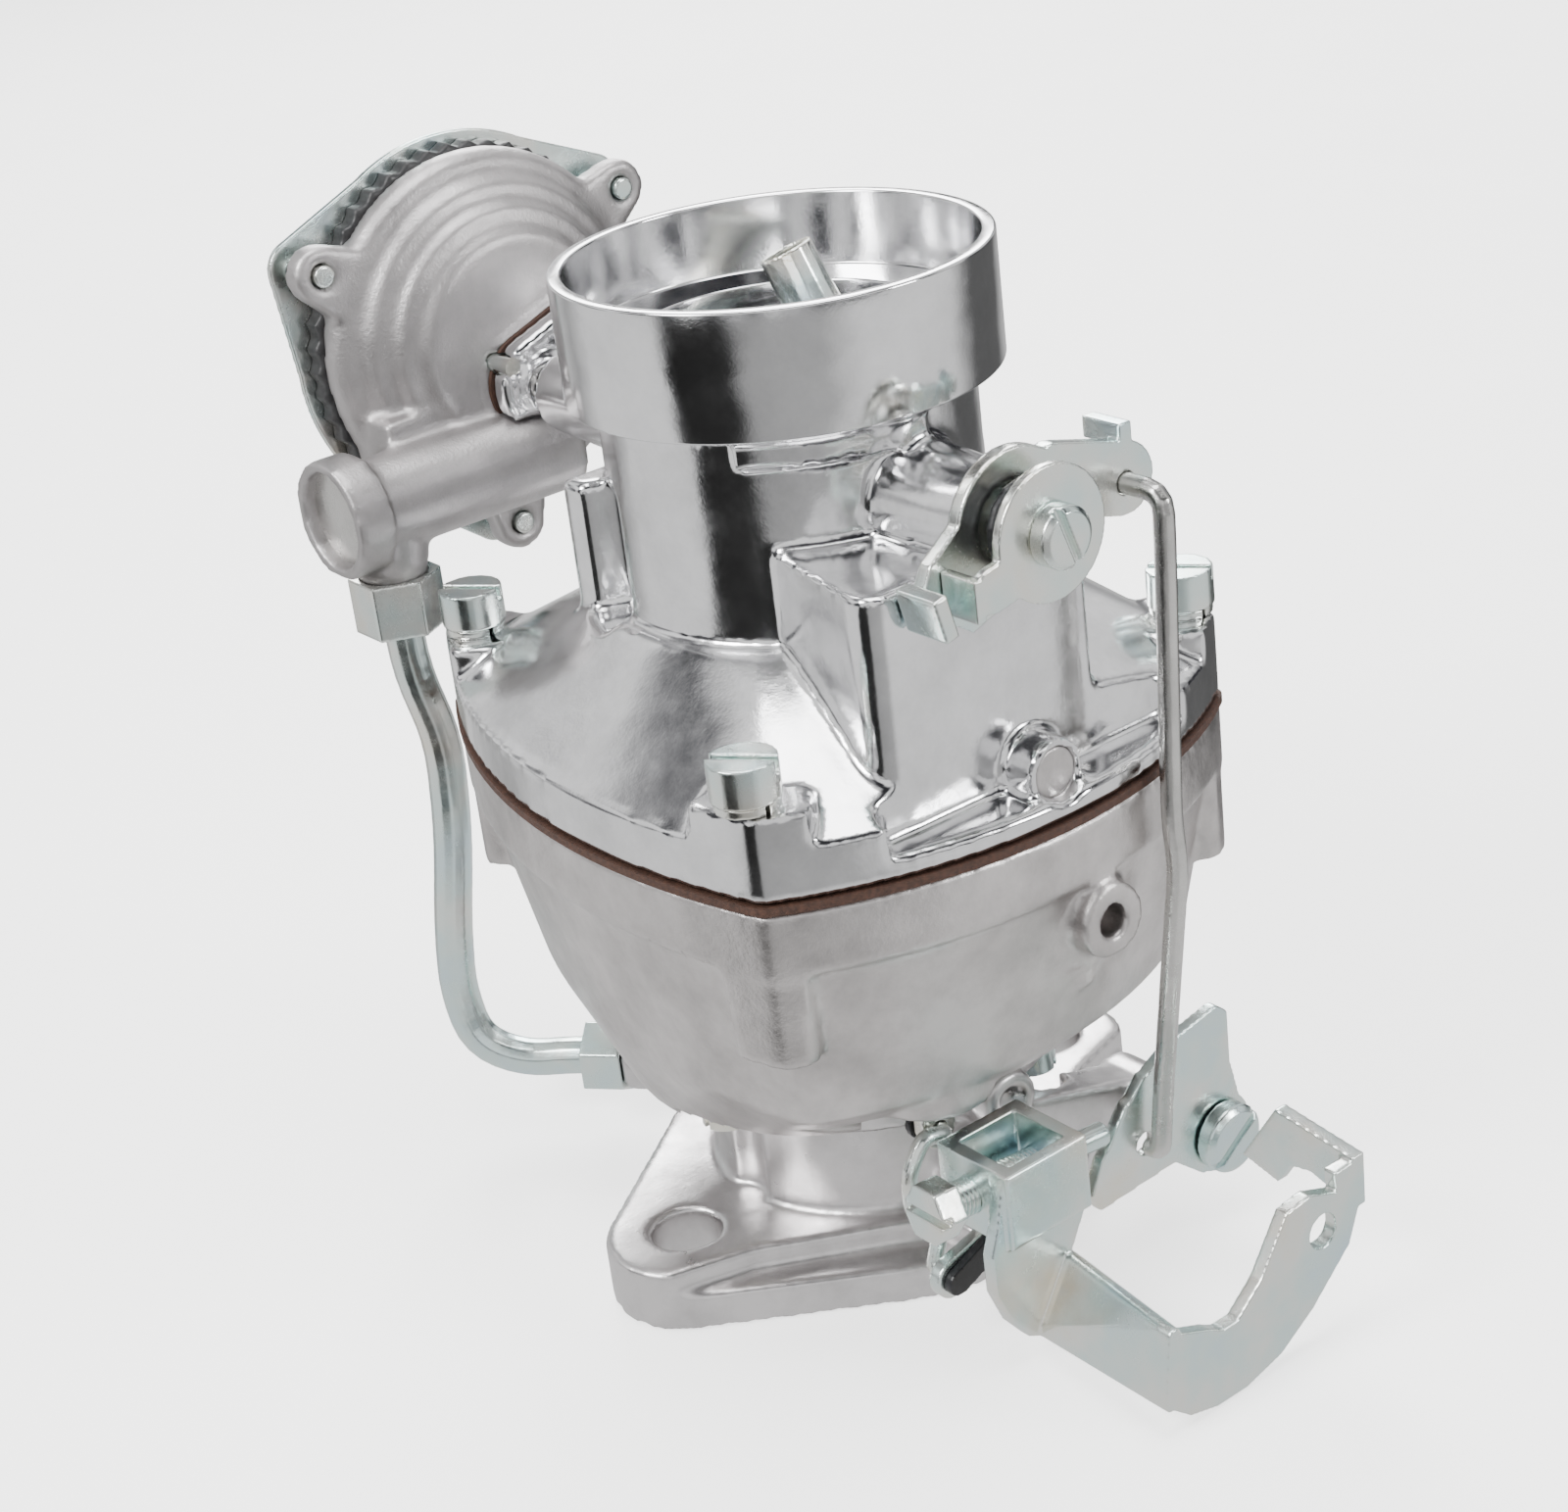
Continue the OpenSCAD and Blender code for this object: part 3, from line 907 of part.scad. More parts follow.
module tube_fitting() color([0.70, 0.74, 0.74]) vac_axis() difference() {
  cylinder(h = vac_nut_l - 1.05, r = 6.4, $fn = 6);
  translate([0, 0, -1]) cylinder(h = 12, r = tube_r + 0.05);
}

throttle_body();
throttle_body_gasket();
throttle_body_screws();
float_bowl();
bowl_gasket();
air_horn();
cover_screws();
cover_lock_washers();
vent_tube();
cover_plug();
booster_venturi();
main_well();
main_jet();
power_piston();
power_spring();
power_valve();
needle_seat();
float_needle();
float();
float_hinge_pin();
inlet_fitting();
pump_plunger();
pump_cup();
pump_spring();
pump_check_ball();
pump_link();
link_clip_upper();
link_clip_lower();
idle_mixture_screw();
idle_mixture_spring();
throttle_shaft();
throttle_plate();
throttle_plate_screws();
throttle_lever();
idle_stop_screw();
fast_idle_cam();
cam_screw();
choke_shaft();
choke_plate();
choke_plate_screws();
choke_lever();
choke_trip_lever();
choke_lever_spring();
choke_lever_screw();
choke_rod();
choke_housing();
choke_housing_gasket();
choke_housing_screws();
choke_inner_lever();
choke_piston();
choke_piston_link();
piston_plug();
choke_baffle();
thermostat_cover();
thermostat_retainer();
thermostat_screws();
bimetal_coil();
vacuum_tube();
tube_nut();
tube_fitting();
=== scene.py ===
import json
import math

import bpy
from mathutils import Matrix, Vector

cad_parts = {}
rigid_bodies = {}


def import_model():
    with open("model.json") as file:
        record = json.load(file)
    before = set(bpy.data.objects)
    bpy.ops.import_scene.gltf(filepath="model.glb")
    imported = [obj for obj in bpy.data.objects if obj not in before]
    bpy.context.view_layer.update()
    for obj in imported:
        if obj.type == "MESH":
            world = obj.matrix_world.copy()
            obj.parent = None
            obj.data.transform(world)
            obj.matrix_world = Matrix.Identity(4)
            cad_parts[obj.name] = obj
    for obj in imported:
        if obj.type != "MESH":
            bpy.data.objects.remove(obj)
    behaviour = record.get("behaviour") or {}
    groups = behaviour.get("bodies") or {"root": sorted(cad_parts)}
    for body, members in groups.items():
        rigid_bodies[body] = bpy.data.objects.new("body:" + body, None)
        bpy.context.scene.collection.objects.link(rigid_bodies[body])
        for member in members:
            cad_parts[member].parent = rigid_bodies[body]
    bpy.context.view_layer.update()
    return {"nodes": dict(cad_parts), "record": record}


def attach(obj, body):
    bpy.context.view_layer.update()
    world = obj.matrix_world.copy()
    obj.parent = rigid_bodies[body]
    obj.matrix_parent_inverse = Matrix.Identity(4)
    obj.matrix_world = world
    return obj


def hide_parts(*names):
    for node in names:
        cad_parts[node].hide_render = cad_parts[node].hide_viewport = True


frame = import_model()

bl_info = {
    "name": "Carburettor bench model",
    "version": (1, 0, 0),
    "blender": (4, 5, 0),
    "location": "View3D > Sidebar > Carburettor",
    "description": "Dresses a one-barrel carburettor frame with castings, plated levers and wires",
    "category": "Object",
}

MM = 0.001
TOP = max(v.co.z for v in frame["nodes"]["air_horn"].data.vertices)
COLLAR_R = 31.25 * MM
COLLAR_WALL = 2.05 * MM
COLLAR_LOW = TOP - 18 * MM
CHOKE_R = 21.5 * MM
COVER_SHARE = 0.6  # the moulded cover's mesh grain against that of the castings
THREAD_R = 2.5 * MM
THREAD_PITCH = 0.8 * MM
THREAD_LENGTH = 23.5 * MM
HEAD_HEIGHT = 5.0 * MM
SHOULDER = TOP - 11 * MM

# ---- sizes and colours a user may change ------------------------------------------------------------


class CastingSettings(bpy.types.PropertyGroup):
    """Sizes and colours of the four castings"""
    grain: bpy.props.FloatProperty(
        name="Mesh grain", description="Cell size of the refined casting surface",
        default=0.8 * MM, min=0.4 * MM, max=2 * MM, unit="LENGTH", precision=5)
    soften: bpy.props.IntProperty(
        name="Edge softening", description="How often the cast edges are smoothed", default=5, min=0, max=20)
    cover_colour: bpy.props.FloatVectorProperty(
        name="Cover", description="Colour of the polished cover casting", subtype="COLOR",
        default=(0.86, 0.86, 0.87), min=0, max=1)
    bowl_colour: bpy.props.FloatVectorProperty(
        name="Bowl", description="Colour of the matte bowl casting", subtype="COLOR",
        default=(0.70, 0.67, 0.66), min=0, max=1)
    body_colour: bpy.props.FloatVectorProperty(
        name="Throttle body", description="Colour of the throttle body casting", subtype="COLOR",
        default=(0.72, 0.70, 0.70), min=0, max=1)
    housing_colour: bpy.props.FloatVectorProperty(
        name="Choke housing", description="Colour of the blasted choke housing", subtype="COLOR",
        default=(0.52, 0.50, 0.50), min=0, max=1)


class SmallPartSettings(bpy.types.PropertyGroup):
    """Sizes and colours of levers, wires and screws"""
    grain: bpy.props.FloatProperty(
        name="Mesh grain", description="Cell size of the refined levers and screws",
        default=0.25 * MM, min=0.15 * MM, max=1 * MM, unit="LENGTH", precision=5)
    zinc_colour: bpy.props.FloatVectorProperty(
        name="Zinc plate", description="Colour of the clear zinc plating", subtype="COLOR",
        default=(0.70, 0.77, 0.79), min=0, max=1)
    steel_colour: bpy.props.FloatVectorProperty(
        name="Steel", description="Colour of the drawn steel", subtype="COLOR",
        default=(0.66, 0.65, 0.63), min=0, max=1)
    brass_colour: bpy.props.FloatVectorProperty(
        name="Brass", description="Colour of the turned brass", subtype="COLOR",
        default=(0.78, 0.60, 0.30), min=0, max=1)
    gasket_colour: bpy.props.FloatVectorProperty(
        name="Gasket", description="Colour of the fibre gaskets", subtype="COLOR",
        default=(0.05, 0.02, 0.011), min=0, max=1)


class StageSettings(bpy.types.PropertyGroup):
    """Floor and light of the stage"""
    floor_colour: bpy.props.FloatVectorProperty(
        name="Floor", description="Colour of the floor", subtype="COLOR",
        default=(0.93, 0.93, 0.92), min=0, max=1)
    light_strength: bpy.props.FloatProperty(
        name="Light", description="Strength of all lamps together", default=1.0, min=0, max=5)


def settings(group):
    return getattr(bpy.context.scene, group)


# ---- helpers --------------------------------------------------------------------------------------


def deselect():
    if bpy.context.object and bpy.context.object.mode != "OBJECT":
        bpy.ops.object.mode_set(mode="OBJECT")
    bpy.ops.object.select_all(action="DESELECT")


def activate(obj):
    deselect()
    obj.select_set(True)
    bpy.context.view_layer.objects.active = obj


def new_piece(name):
    """Takes the object an operator has just added and names it."""
    obj = bpy.context.object
    obj.name = name
    obj.data.name = name
    return obj


def apply_place(obj):
    activate(obj)
    bpy.ops.object.transform_apply(location=True, rotation=True, scale=True)


def copy_node(node, name):
    """A merged copy of a CAD node, at the origin, ready to be refined."""
    source = frame["nodes"][node]
    activate(source)
    bpy.ops.object.duplicate()
    obj = new_piece(name)
    bpy.ops.object.parent_clear(type="CLEAR_KEEP_TRANSFORM")
    obj.hide_render = False
    bpy.ops.object.mode_set(mode="EDIT")
    bpy.ops.mesh.select_all(action="SELECT")
    bpy.ops.mesh.remove_doubles(threshold=0.002 * MM)
    bpy.ops.object.mode_set(mode="OBJECT")
    obj.data.materials.clear()
    return obj


def add_modifier(obj, kind, **values):
    activate(obj)
    bpy.ops.object.modifier_add(type=kind)
    mod = obj.modifiers[-1]
    for key, value in values.items():
        setattr(mod, key, value)
    return mod


def bake_modifier(obj, kind, **values):
    mod = add_modifier(obj, kind, **values)
    bpy.ops.object.modifier_apply(modifier=mod.name)


def smooth_shade(obj, angle=40):
    activate(obj)
    bpy.ops.object.shade_smooth_by_angle(angle=math.radians(angle))


def body_of_node(node):
    for body, nodes in frame["record"]["behaviour"]["bodies"].items():
        if node in nodes:
            return body
    raise RuntimeError("no body holds " + node)


def refine(node, grain, soften, finish, angle=60):
    """A finely meshed copy of a CAD node with soft cast or stamped edges."""
    obj = copy_node(node, node + "_fine")
    bake_modifier(obj, "REMESH", mode="VOXEL", voxel_size=grain, adaptivity=0)
    if soften:
        bake_modifier(obj, "SMOOTH", factor=0.5, iterations=soften)
    smooth_shade(obj, angle)
    dress(obj, finish)
    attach(obj, body_of_node(node))
    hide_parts(node)
    return obj


def set_down(obj, node, finish, angle=40):
    """Finishes a new piece that stands in for part of a CAD node."""
    smooth_shade(obj, angle)
    dress(obj, finish)
    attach(obj, body_of_node(node))
    return obj


def cut_above(obj, height):
    """Takes away all of a piece above a height and closes the cut."""
    activate(obj)
    bpy.ops.object.mode_set(mode="EDIT")
    bpy.ops.mesh.select_all(action="SELECT")
    bpy.ops.mesh.bisect(plane_co=(0, 0, height), plane_no=(0, 0, 1), use_fill=True, clear_outer=True)
    bpy.ops.object.mode_set(mode="OBJECT")


def pick_faces(obj, test):
    """Selects the faces that pass a test and goes to edit mode."""
    activate(obj)
    bpy.ops.object.mode_set(mode="EDIT")
    bpy.ops.mesh.select_mode(type="FACE")
    bpy.ops.mesh.select_all(action="DESELECT")
    bpy.ops.object.mode_set(mode="OBJECT")
    for face in obj.data.polygons:
        face.select = test(face)
    bpy.ops.object.mode_set(mode="EDIT")


def collar_ring():
    """The turned collar: a cylinder whose top is inset and sunk twice, down to the choke bore."""
    deselect()
    bpy.ops.mesh.primitive_cylinder_add(
        vertices=160, radius=COLLAR_R, depth=TOP - COLLAR_LOW, location=(0, 0, (TOP + COLLAR_LOW) / 2))
    obj = new_piece("air_cleaner_collar")
    apply_place(obj)
    pick_faces(obj, lambda face: face.normal.z > 0.9)
    bpy.ops.mesh.inset(thickness=COLLAR_WALL)
    bpy.ops.mesh.extrude_region_move(TRANSFORM_OT_translate={"value": (0, 0, SHOULDER - TOP)})
    bpy.ops.mesh.inset(thickness=COLLAR_R - COLLAR_WALL - CHOKE_R)
    bpy.ops.mesh.extrude_region_move(TRANSFORM_OT_translate={"value": (0, 0, COLLAR_LOW - SHOULDER)})
    bpy.ops.mesh.delete(type="FACE")
    pick_faces(obj, lambda face: face.normal.z < -0.9)
    bpy.ops.mesh.inset(thickness=COLLAR_R - CHOKE_R)
    bpy.ops.mesh.delete(type="FACE")
    bpy.ops.mesh.select_all(action="SELECT")
    bpy.ops.mesh.remove_doubles(threshold=0.005 * MM)
    bpy.ops.mesh.normals_make_consistent(inside=False)
    bpy.ops.object.mode_set(mode="OBJECT")
    bake_modifier(obj, "BEVEL", width=0.35 * MM, segments=3, limit_method="ANGLE", angle_limit=math.radians(40))
    return obj


def slot_of(node):
    for row in frame["record"]["subparts"]:
        if row["node"] == node:
            return row["material_slot"]
    raise RuntimeError("no slot for " + node)


def dress(obj, finish):
    obj.data.materials.clear()
    obj.data.materials.append(material(finish))


# ---- materials -----------------------------------------------------------------------------------------

MATERIALS = {}


def colour4(value):
    return (value[0], value[1], value[2], 1.0)


def node_at(tree, kind, x, y, **values):
    node = tree.nodes.new(kind)
    node.location = (x, y)
    for key, value in values.items():
        if hasattr(node, key) and key not in node.inputs:
            setattr(node, key, value)
        else:
            node.inputs[key].default_value = value
    return node


def noise(tree, coord, scale, detail=4, rough=0.6, y=0):
    node = node_at(tree, "ShaderNodeTexNoise", -700, y, Scale=scale, Detail=detail, Roughness=rough)
    tree.links.new(coord, node.inputs["Vector"])
    return node.outputs["Fac"]


def ramp(tree, fac, stops, y=0):
    node = node_at(tree, "ShaderNodeValToRGB", -480, y)
    tree.links.new(fac, node.inputs["Fac"])
    cr = node.color_ramp
    while len(cr.elements) < len(stops):
        cr.elements.new(0.5)
    for element, (place, value) in zip(cr.elements, stops):
        element.position = place
        element.color = colour4(value) if hasattr(value, "__len__") else (value, value, value, 1)
    return node.outputs["Color"]


def bump(tree, height, strength, distance, normal=None, y=-300):
    node = node_at(tree, "ShaderNodeBump", -220, y, Strength=strength, Distance=distance)
    tree.links.new(height, node.inputs["Height"])
    if normal:
        tree.links.new(normal, node.inputs["Normal"])
    return node.outputs["Normal"]


def tinted(colour, factor):
    return tuple(max(0.0, min(1.0, c * factor)) for c in colour[:3])


def metal(name, colour, rough, stain, grain, wave, dull=None):
    """Metal with stains in its colour, uneven gloss, casting or plating grain and a slow waviness.

    rough: lowest and highest roughness; stain: how dark the stains get; grain and wave: (scale, height)."""
    mat = bpy.data.materials.new(name)
    mat.use_nodes = True
    tree = mat.node_tree
    shader = tree.nodes["Principled BSDF"]
    shader.inputs["Metallic"].default_value = 1.0
    coord = node_at(tree, "ShaderNodeTexCoord", -950, 0).outputs["Object"]
    blotch = noise(tree, coord, 70, 6, 0.65, 200)
    other = dull if dull else tinted(colour, 1 - stain)
    tree.links.new(ramp(tree, blotch, [(0.32, other), (0.62, colour)], 200), shader.inputs["Base Color"])
    gloss = noise(tree, coord, 160, 5, 0.7, -50)
    tree.links.new(ramp(tree, gloss, [(0.3, rough[0]), (0.75, rough[1])], -50), shader.inputs["Roughness"])
    slow = bump(tree, noise(tree, coord, wave[0], 2, 0.5, -300), 1.0, wave[1], None, -300)
    fine = bump(tree, noise(tree, coord, grain[0], 3, 0.6, -520), 1.0, grain[1], slow, -520)
    tree.links.new(fine, shader.inputs["Normal"])
    return mat


def brushed(mat, scale, height, stretch):
    """Adds straight tool marks along Y on top of the metal's own grain."""
    tree = mat.node_tree
    shader = tree.nodes["Principled BSDF"]
    before = shader.inputs["Normal"].links[0].from_socket
    coord = node_at(tree, "ShaderNodeTexCoord", -1200, -800).outputs["Object"]
    place = node_at(tree, "ShaderNodeMapping", -1000, -800)
    place.inputs["Scale"].default_value = stretch
    tree.links.new(coord, place.inputs["Vector"])
    marks = noise(tree, place.outputs["Vector"], scale, 4, 0.7, -800)
    tree.links.new(bump(tree, marks, 1.0, height, before, -800), shader.inputs["Normal"])
    return mat


def zinc(name, colour):
    """Clear zinc plating: a faint play of blue, green and straw over bright steel."""
    mat = metal(name, colour, (0.16, 0.34), 0.15, (2600, 0.012 * MM), (90, 0.05 * MM))
    tree = mat.node_tree
    shader = tree.nodes["Principled BSDF"]
    coord = node_at(tree, "ShaderNodeTexCoord", -950, 500).outputs["Object"]
    play = noise(tree, coord, 55, 3, 0.6, 500)
    tint = ramp(tree, play, [(0.25, (0.62, 0.76, 0.84)), (0.42, (0.70, 0.82, 0.80)), (0.55, (0.82, 0.84, 0.80)),
                             (0.68, (0.84, 0.80, 0.70)), (0.8, (0.66, 0.74, 0.84))], 500)
    tree.links.new(tint, shader.inputs["Base Color"])
    return mat


def matte(name, colour, rough, speck, height, scale):
    mat = bpy.data.materials.new(name)
    mat.use_nodes = True
    tree = mat.node_tree
    shader = tree.nodes["Principled BSDF"]
    coord = node_at(tree, "ShaderNodeTexCoord", -950, 0).outputs["Object"]
    fleck = noise(tree, coord, scale, 5, 0.7, 200)
    tree.links.new(ramp(tree, fleck, [(0.35, tinted(colour, 1 - speck)), (0.65, tinted(colour, 1 + speck))], 200),
                   shader.inputs["Base Color"])
    gloss = noise(tree, coord, scale * 0.5, 3, 0.6, -50)
    tree.links.new(ramp(tree, gloss, [(0.3, rough[0]), (0.7, rough[1])], -50), shader.inputs["Roughness"])
    tree.links.new(bump(tree, fleck, 1.0, height), shader.inputs["Normal"])
    return mat


def material(finish):
    if finish not in MATERIALS:
        cast = settings("carb_castings")
        small = settings("carb_small")
        cover, bowl = tuple(cast.cover_colour), tuple(cast.bowl_colour)
        body, housing = tuple(cast.body_colour), tuple(cast.housing_colour)
        steel, brass = tuple(small.steel_colour), tuple(small.brass_colour)
        builders = {
            "polished_casting": lambda: metal("polished_casting", cover, (0.09, 0.22), 0.22,
                                              (1300, 0.014 * MM), (75, 0.20 * MM)),
            "turned_casting": lambda: metal("turned_casting", cover, (0.06, 0.18), 0.16,
                                            (1800, 0.008 * MM), (30, 0.006 * MM)),
            "matte_casting": lambda: metal("matte_casting", bowl, (0.30, 0.46), 0.30,
                                           (1300, 0.07 * MM), (110, 0.30 * MM)),
            "bright_casting": lambda: brushed(metal("bright_casting", body, (0.26, 0.42), 0.24,
                                                    (1300, 0.03 * MM), (90, 0.16 * MM)),
                                              60, 0.03 * MM, (12, 1.2, 3)),
            "blasted_casting": lambda: metal("blasted_casting", housing, (0.38, 0.54), 0.24,
                                             (1800, 0.08 * MM), (110, 0.16 * MM)),
            "zinc_plate": lambda: zinc("zinc_plate", tuple(small.zinc_colour)),
            "drawn_steel": lambda: brushed(metal("drawn_steel", steel, (0.2, 0.36), 0.25,
                                                 (2200, 0.01 * MM), (120, 0.04 * MM)),
                                           200, 0.02 * MM, (6, 6, 0.4)),
            "brass": lambda: metal("brass", brass, (0.2, 0.36), 0.25, (1800, 0.01 * MM), (90, 0.05 * MM)),
            "fibre": lambda: matte("fibre", tuple(small.gasket_colour), (0.6, 0.8), 0.35, 0.04 * MM, 1400),
            "black_oxide": lambda: matte("black_oxide", (0.012, 0.012, 0.014), (0.25, 0.45), 0.3, 0.02 * MM, 900),
            "black_rubber": lambda: matte("black_rubber", (0.02, 0.02, 0.02), (0.5, 0.7), 0.2, 0.02 * MM, 700),
            "black_moulding": lambda: matte("black_moulding", (0.025, 0.025, 0.026), (0.3, 0.5), 0.25, 0.03 * MM, 800),
        }
        MATERIALS[finish] = builders[finish]()
    return MATERIALS[finish]


SLOT_FINISH = {
    "cover_casting": "polished_casting", "bowl_casting": "matte_casting", "body_casting": "bright_casting",
    "housing_casting": "blasted_casting", "zinc_plate": "zinc_plate", "plain_steel": "drawn_steel",
    "brass": "brass", "gasket": "fibre", "black_steel": "black_oxide", "black_rubber": "black_rubber",
    "black_plastic": "black_moulding",
}


class CARB_OT_plain(bpy.types.Operator):
    """Gives every CAD piece its finish"""
    bl_idname = "carb.plain"
    bl_label = "Finish the CAD pieces"

    def execute(self, context):
        for node, obj in frame["nodes"].items():
            dress(obj, SLOT_FINISH[slot_of(node)])
        return {"FINISHED"}


class CARB_OT_castings(bpy.types.Operator):
    """Refines the cover, the bowl, the throttle body and the choke housing"""
    bl_idname = "carb.castings"
    bl_label = "Castings"

    def execute(self, context):
        cast = settings("carb_castings")
        for node, finish in (("air_horn", "polished_casting"), ("float_bowl", "matte_casting"),
                             ("throttle_body", "bright_casting"), ("choke_housing", "blasted_casting")):
            piece = refine(node, cast.grain, cast.soften, finish)
            if node == "air_horn":
                cut_above(piece, COLLAR_LOW)
                smooth_shade(piece)
        refine("thermostat_cover", cast.grain * COVER_SHARE, 2, "black_moulding")
        set_down(collar_ring(), "air_horn", "turned_casting")
        return {"FINISHED"}


STAMPINGS = ("throttle_lever", "fast_idle_cam", "choke_lever", "choke_trip_lever")
WIRES = {"choke_rod": "drawn_steel", "pump_link": "zinc_plate", "vacuum_tube": "zinc_plate",
         "choke_lever_spring": "black_oxide", "idle_mixture_spring": "drawn_steel"}
SCREWS = ("cover_screws", "choke_lever_screw", "cam_screw", "idle_stop_screw", "thermostat_screws",
          "tube_nut", "tube_fitting", "inlet_fitting", "link_clip_lower", "link_clip_upper",
          "cover_lock_washers", "thermostat_retainer", "vent_tube", "cover_plug", "pump_plunger")


class CARB_OT_stampings(bpy.types.Operator):
    """Refines the plated levers and the fast idle cam"""
    bl_idname = "carb.stampings"
    bl_label = "Levers"

    def execute(self, context):
        small = settings("carb_small")
        for node in STAMPINGS:
            refine(node, small.grain, 6, "zinc_plate")
        return {"FINISHED"}


class CARB_OT_wires(bpy.types.Operator):
    """Refines the rod, the pump wire, the vacuum tube and the visible springs"""
    bl_idname = "carb.wires"
    bl_label = "Rods, tube and springs"

    def execute(self, context):
        small = settings("carb_small")
        for node, finish in WIRES.items():
            refine(node, small.grain * 1.2, 4, finish, 80)
        return {"FINISHED"}


class CARB_OT_screws(bpy.types.Operator):
    """Refines the screws, nuts and clips"""
    bl_idname = "carb.screws"
    bl_label = "Screws and fittings"

    def execute(self, context):
        small = settings("carb_small")
        for node in SCREWS:
            refine(node, small.grain, 2, SLOT_FINISH[slot_of(node)])
        return {"FINISHED"}


CAMERA_PLACE = Vector((0.31886, -0.23871, 0.25702))
CAMERA_RIGHT = Vector((0.62267265, 0.77427638, -0.11302592))
CAMERA_UP = Vector((-0.2603996, 0.34125618, 0.9031812))
CAMERA_BACK = Vector((0.73788266, -0.53295432, 0.41411215))


# Painted reflection: the brightness that polished metal sees on the floor, by the share of a turn round the object;
# only glossy rays see it
PAINTED_REFLECTION_WEDGES = [(0.0, 1.0), (0.07, 0.45), (0.11, 1.0), (0.245, 1.0), (0.262, 0.02), (0.35, 0.03), (0.375, 0.4),
                (0.48, 0.5), (0.53, 1.0), (0.68, 1.0), (0.73, 0.12), (0.82, 0.12), (0.9, 0.9), (1.0, 1.0)]


def floor_with_painted_reflection(colour):
    """Pale paper that glows a little, so that it stays near white; polished metal sees a painted reflection on it in
    soft dark bands, which only glossy rays see.
    """
    mat = matte("floor_with_painted_reflection", colour, (0.5, 0.6), 0.01, 0.0, 30)
    tree = mat.node_tree
    shader = tree.nodes["Principled BSDF"]
    shader.inputs["Emission Color"].default_value = (1, 1, 1, 1)
    coord = node_at(tree, "ShaderNodeTexCoord", -1400, -600).outputs["Object"]
    around = node_at(tree, "ShaderNodeTexGradient", -1100, -600, gradient_type="RADIAL")
    tree.links.new(coord, around.inputs["Vector"])
    sway = node_at(tree, "ShaderNodeTexNoise", -1100, -800, Scale=6.0, Detail=1.0)
    tree.links.new(coord, sway.inputs["Vector"])
    angle = node_at(tree, "ShaderNodeMath", -900, -600, operation="MULTIPLY_ADD")
    tree.links.new(sway.outputs["Fac"], angle.inputs[0])
    angle.inputs[1].default_value = 0.05
    tree.links.new(around.outputs["Fac"], angle.inputs[2])
    reflection_wedges = ramp(tree, angle.outputs[0], PAINTED_REFLECTION_WEDGES, -600)
    reach = node_at(tree, "ShaderNodeVectorMath", -900, -900, operation="LENGTH")
    tree.links.new(coord, reach.inputs[0])
    far = node_at(tree, "ShaderNodeMapRange", -700, -900, interpolation_type="SMOOTHSTEP")
    tree.links.new(reach.outputs["Value"], far.inputs["Value"])
    far.inputs["From Min"].default_value = 0.09
    far.inputs["From Max"].default_value = 0.19
    # painted reflection: close to the object the floor reflects bright, further off it reflects the dark wedges
    blend = node_at(tree, "ShaderNodeMixRGB", -400, -700)
    tree.links.new(far.outputs["Result"], blend.inputs["Fac"])
    blend.inputs["Color1"].default_value = (0.95, 0.95, 0.95, 1)
    tree.links.new(reflection_wedges, blend.inputs["Color2"])
    shade = blend.outputs["Color"]
    seen = node_at(tree, "ShaderNodeEmission", -200, -600)
    tree.links.new(shade, seen.inputs["Color"])
    path = node_at(tree, "ShaderNodeLightPath", -500, 300)
    glow = node_at(tree, "ShaderNodeMath", -200, 300, operation="MULTIPLY_ADD")
    tree.links.new(path.outputs["Is Camera Ray"], glow.inputs[0])
    glow.inputs[1].default_value = 1.3
    glow.inputs[2].default_value = 0.5
    tree.links.new(glow.outputs[0], shader.inputs["Emission Strength"])
    # glossy rays see the painted reflection bands in place of the paper's own shading
    mix = node_at(tree, "ShaderNodeMixShader", 100, 0)
    tree.links.new(path.outputs["Is Glossy Ray"], mix.inputs["Fac"])
    tree.links.new(shader.outputs["BSDF"], mix.inputs[1])
    tree.links.new(seen.outputs["Emission"], mix.inputs[2])
    tree.links.new(mix.outputs["Shader"], tree.nodes["Material Output"].inputs["Surface"])
    return mat


def aim(obj, target):
    obj.rotation_euler = (Vector(target) - obj.location).to_track_quat("-Z", "Y").to_euler()


class CARB_OT_threads(bpy.types.Operator):
    """Cuts the look of a thread round the stop screw"""
    bl_idname = "carb.threads"
    bl_label = "Stop screw thread"

    def execute(self, context):
        joint = next(j for j in frame["record"]["behaviour"]["joints"] if j["name"] == "stop_screw_turn")
        axis = Vector(joint["axis"]).normalized()
        if axis.y < 0:
            axis.negate()
        place = Vector(joint["pos_m"])
        screw = frame["nodes"]["idle_stop_screw"]
        head_end = min(axis.dot(screw.matrix_world @ v.co - place) for v in screw.data.vertices)
        turn = axis.to_track_quat("Z", "Y").to_euler()
        deselect()
        rings = []
        for k in range(round(THREAD_LENGTH / THREAD_PITCH)):
            bpy.ops.mesh.primitive_torus_add(
                major_segments=32, minor_segments=6, major_radius=THREAD_R, minor_radius=THREAD_PITCH * 0.34,
                location=place + axis * (head_end + HEAD_HEIGHT + k * THREAD_PITCH), rotation=turn)
            rings.append(bpy.context.object)
        deselect()
        for ring in rings:
            ring.select_set(True)
        bpy.context.view_layer.objects.active = rings[0]
        bpy.ops.object.join()
        obj = new_piece("stop_screw_thread")
        apply_place(obj)
        set_down(obj, "idle_stop_screw", "zinc_plate", 60)
        return {"FINISHED"}


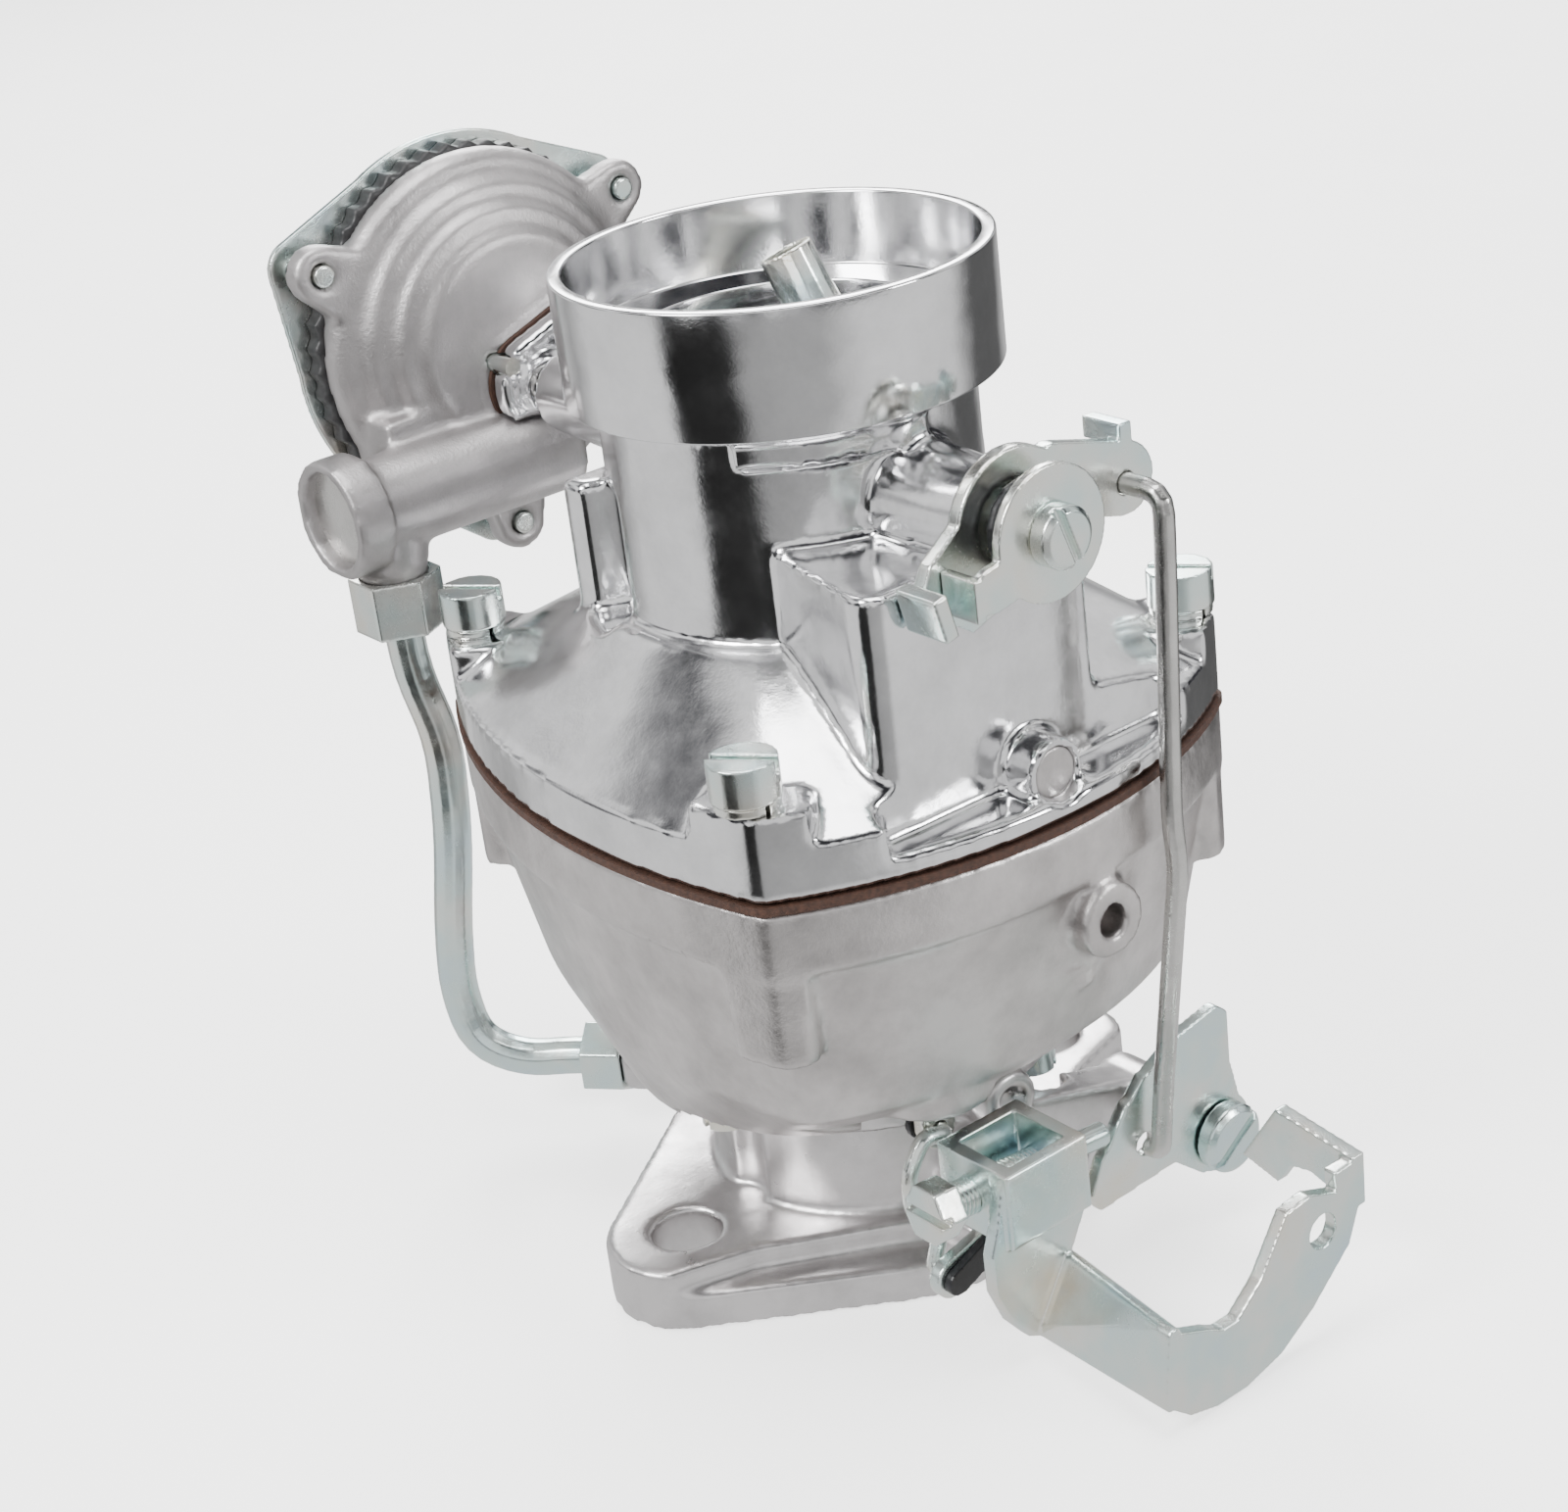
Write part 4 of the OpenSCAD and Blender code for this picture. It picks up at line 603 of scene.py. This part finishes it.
class CARB_OT_stage(bpy.types.Operator):
    """Floor, soft lights and camera"""
    bl_idname = "carb.stage"
    bl_label = "Stage"

    def execute(self, context):
        stage = settings("carb_stage")
        deselect()
        bpy.ops.mesh.primitive_plane_add(size=8, location=(0, 0, -0.0003))
        floor = new_piece("floor")
        apply_place(floor)
        floor.data.materials.append(floor_with_painted_reflection(tuple(stage.floor_colour)))
        lamps = (("key", (-0.1, -1.0, 1.0), 0.5, 17), ("side", (1.2, 0.7, 0.6), 0.35, 9),
                 ("back", (-1.0, 0.7, 0.8), 0.6, 14), ("top", (0.05, 0.1, 1.5), 0.8, 16))
        for name, place, size, power in lamps:
            bpy.ops.object.light_add(type="AREA", location=place)
            lamp = bpy.context.object
            lamp.name = name + "_light"
            lamp.data.size = size
            lamp.data.energy = power * stage.light_strength
            aim(lamp, (0, 0, 0.07))
        world = bpy.data.worlds.new("studio")
        context.scene.world = world
        world.use_nodes = True
        tree = world.node_tree
        background = tree.nodes["Background"]
        coord = node_at(tree, "ShaderNodeTexCoord", -900, 0).outputs["Generated"]
        bands = node_at(tree, "ShaderNodeTexNoise", -700, 0, Scale=2.2, Detail=1.0, Roughness=0.4)
        tree.links.new(coord, bands.inputs["Vector"])
        tint = ramp(tree, bands.outputs["Fac"], [(0.40, (0.03, 0.03, 0.035)), (0.50, (0.45, 0.45, 0.46)),
                                                 (0.58, (1.2, 1.2, 1.2))])
        tree.links.new(tint, background.inputs["Color"])
        background.inputs["Strength"].default_value = 1.0
        pale = node_at(tree, "ShaderNodeBackground", -200, -300, Color=(1, 1, 1, 1), Strength=2.0)
        path = node_at(tree, "ShaderNodeLightPath", -200, 300)
        mix = node_at(tree, "ShaderNodeMixShader", 100, 0)
        tree.links.new(path.outputs["Is Camera Ray"], mix.inputs["Fac"])
        tree.links.new(background.outputs["Background"], mix.inputs[1])
        tree.links.new(pale.outputs["Background"], mix.inputs[2])
        tree.links.new(mix.outputs["Shader"], tree.nodes["World Output"].inputs["Surface"])
        bpy.ops.object.camera_add(location=CAMERA_PLACE)
        camera = bpy.context.object
        camera.name = "view_camera"
        turn = Matrix((CAMERA_RIGHT, CAMERA_UP, CAMERA_BACK)).transposed()
        camera.rotation_euler = turn.to_euler()
        camera.data.lens = 67.5
        camera.data.sensor_width = 36
        camera.data.clip_start = 0.01
        context.scene.camera = camera
        return {"FINISHED"}


class CARB_PT_panel(bpy.types.Panel):
    """Lists the steps of the carburettor model"""
    bl_idname = "CARB_PT_panel"
    bl_label = "Carburettor"
    bl_space_type = "VIEW_3D"
    bl_region_type = "UI"
    bl_category = "Carburettor"

    def draw(self, context):
        for group in SETTINGS:
            for key in group[1].__annotations__:
                self.layout.prop(settings(group[0]), key)
        for step in STEPS:
            self.layout.operator(step.bl_idname)


SETTINGS = (("carb_castings", CastingSettings), ("carb_small", SmallPartSettings), ("carb_stage", StageSettings))
STEPS = (CARB_OT_plain, CARB_OT_castings, CARB_OT_stampings, CARB_OT_wires, CARB_OT_screws, CARB_OT_threads, CARB_OT_stage)


def register():
    for name, group in SETTINGS:
        bpy.utils.register_class(group)
        setattr(bpy.types.Scene, name, bpy.props.PointerProperty(type=group))
    for cls in STEPS + (CARB_PT_panel,):
        bpy.utils.register_class(cls)


def unregister():
    for cls in reversed(STEPS + (CARB_PT_panel,)):
        bpy.utils.unregister_class(cls)
    for name, group in reversed(SETTINGS):
        delattr(bpy.types.Scene, name)
        bpy.utils.unregister_class(group)


def main():
    register()
    for step in STEPS:
        getattr(bpy.ops.carb, step.bl_idname.split(".")[1])()


if __name__ == "__main__":
    main()
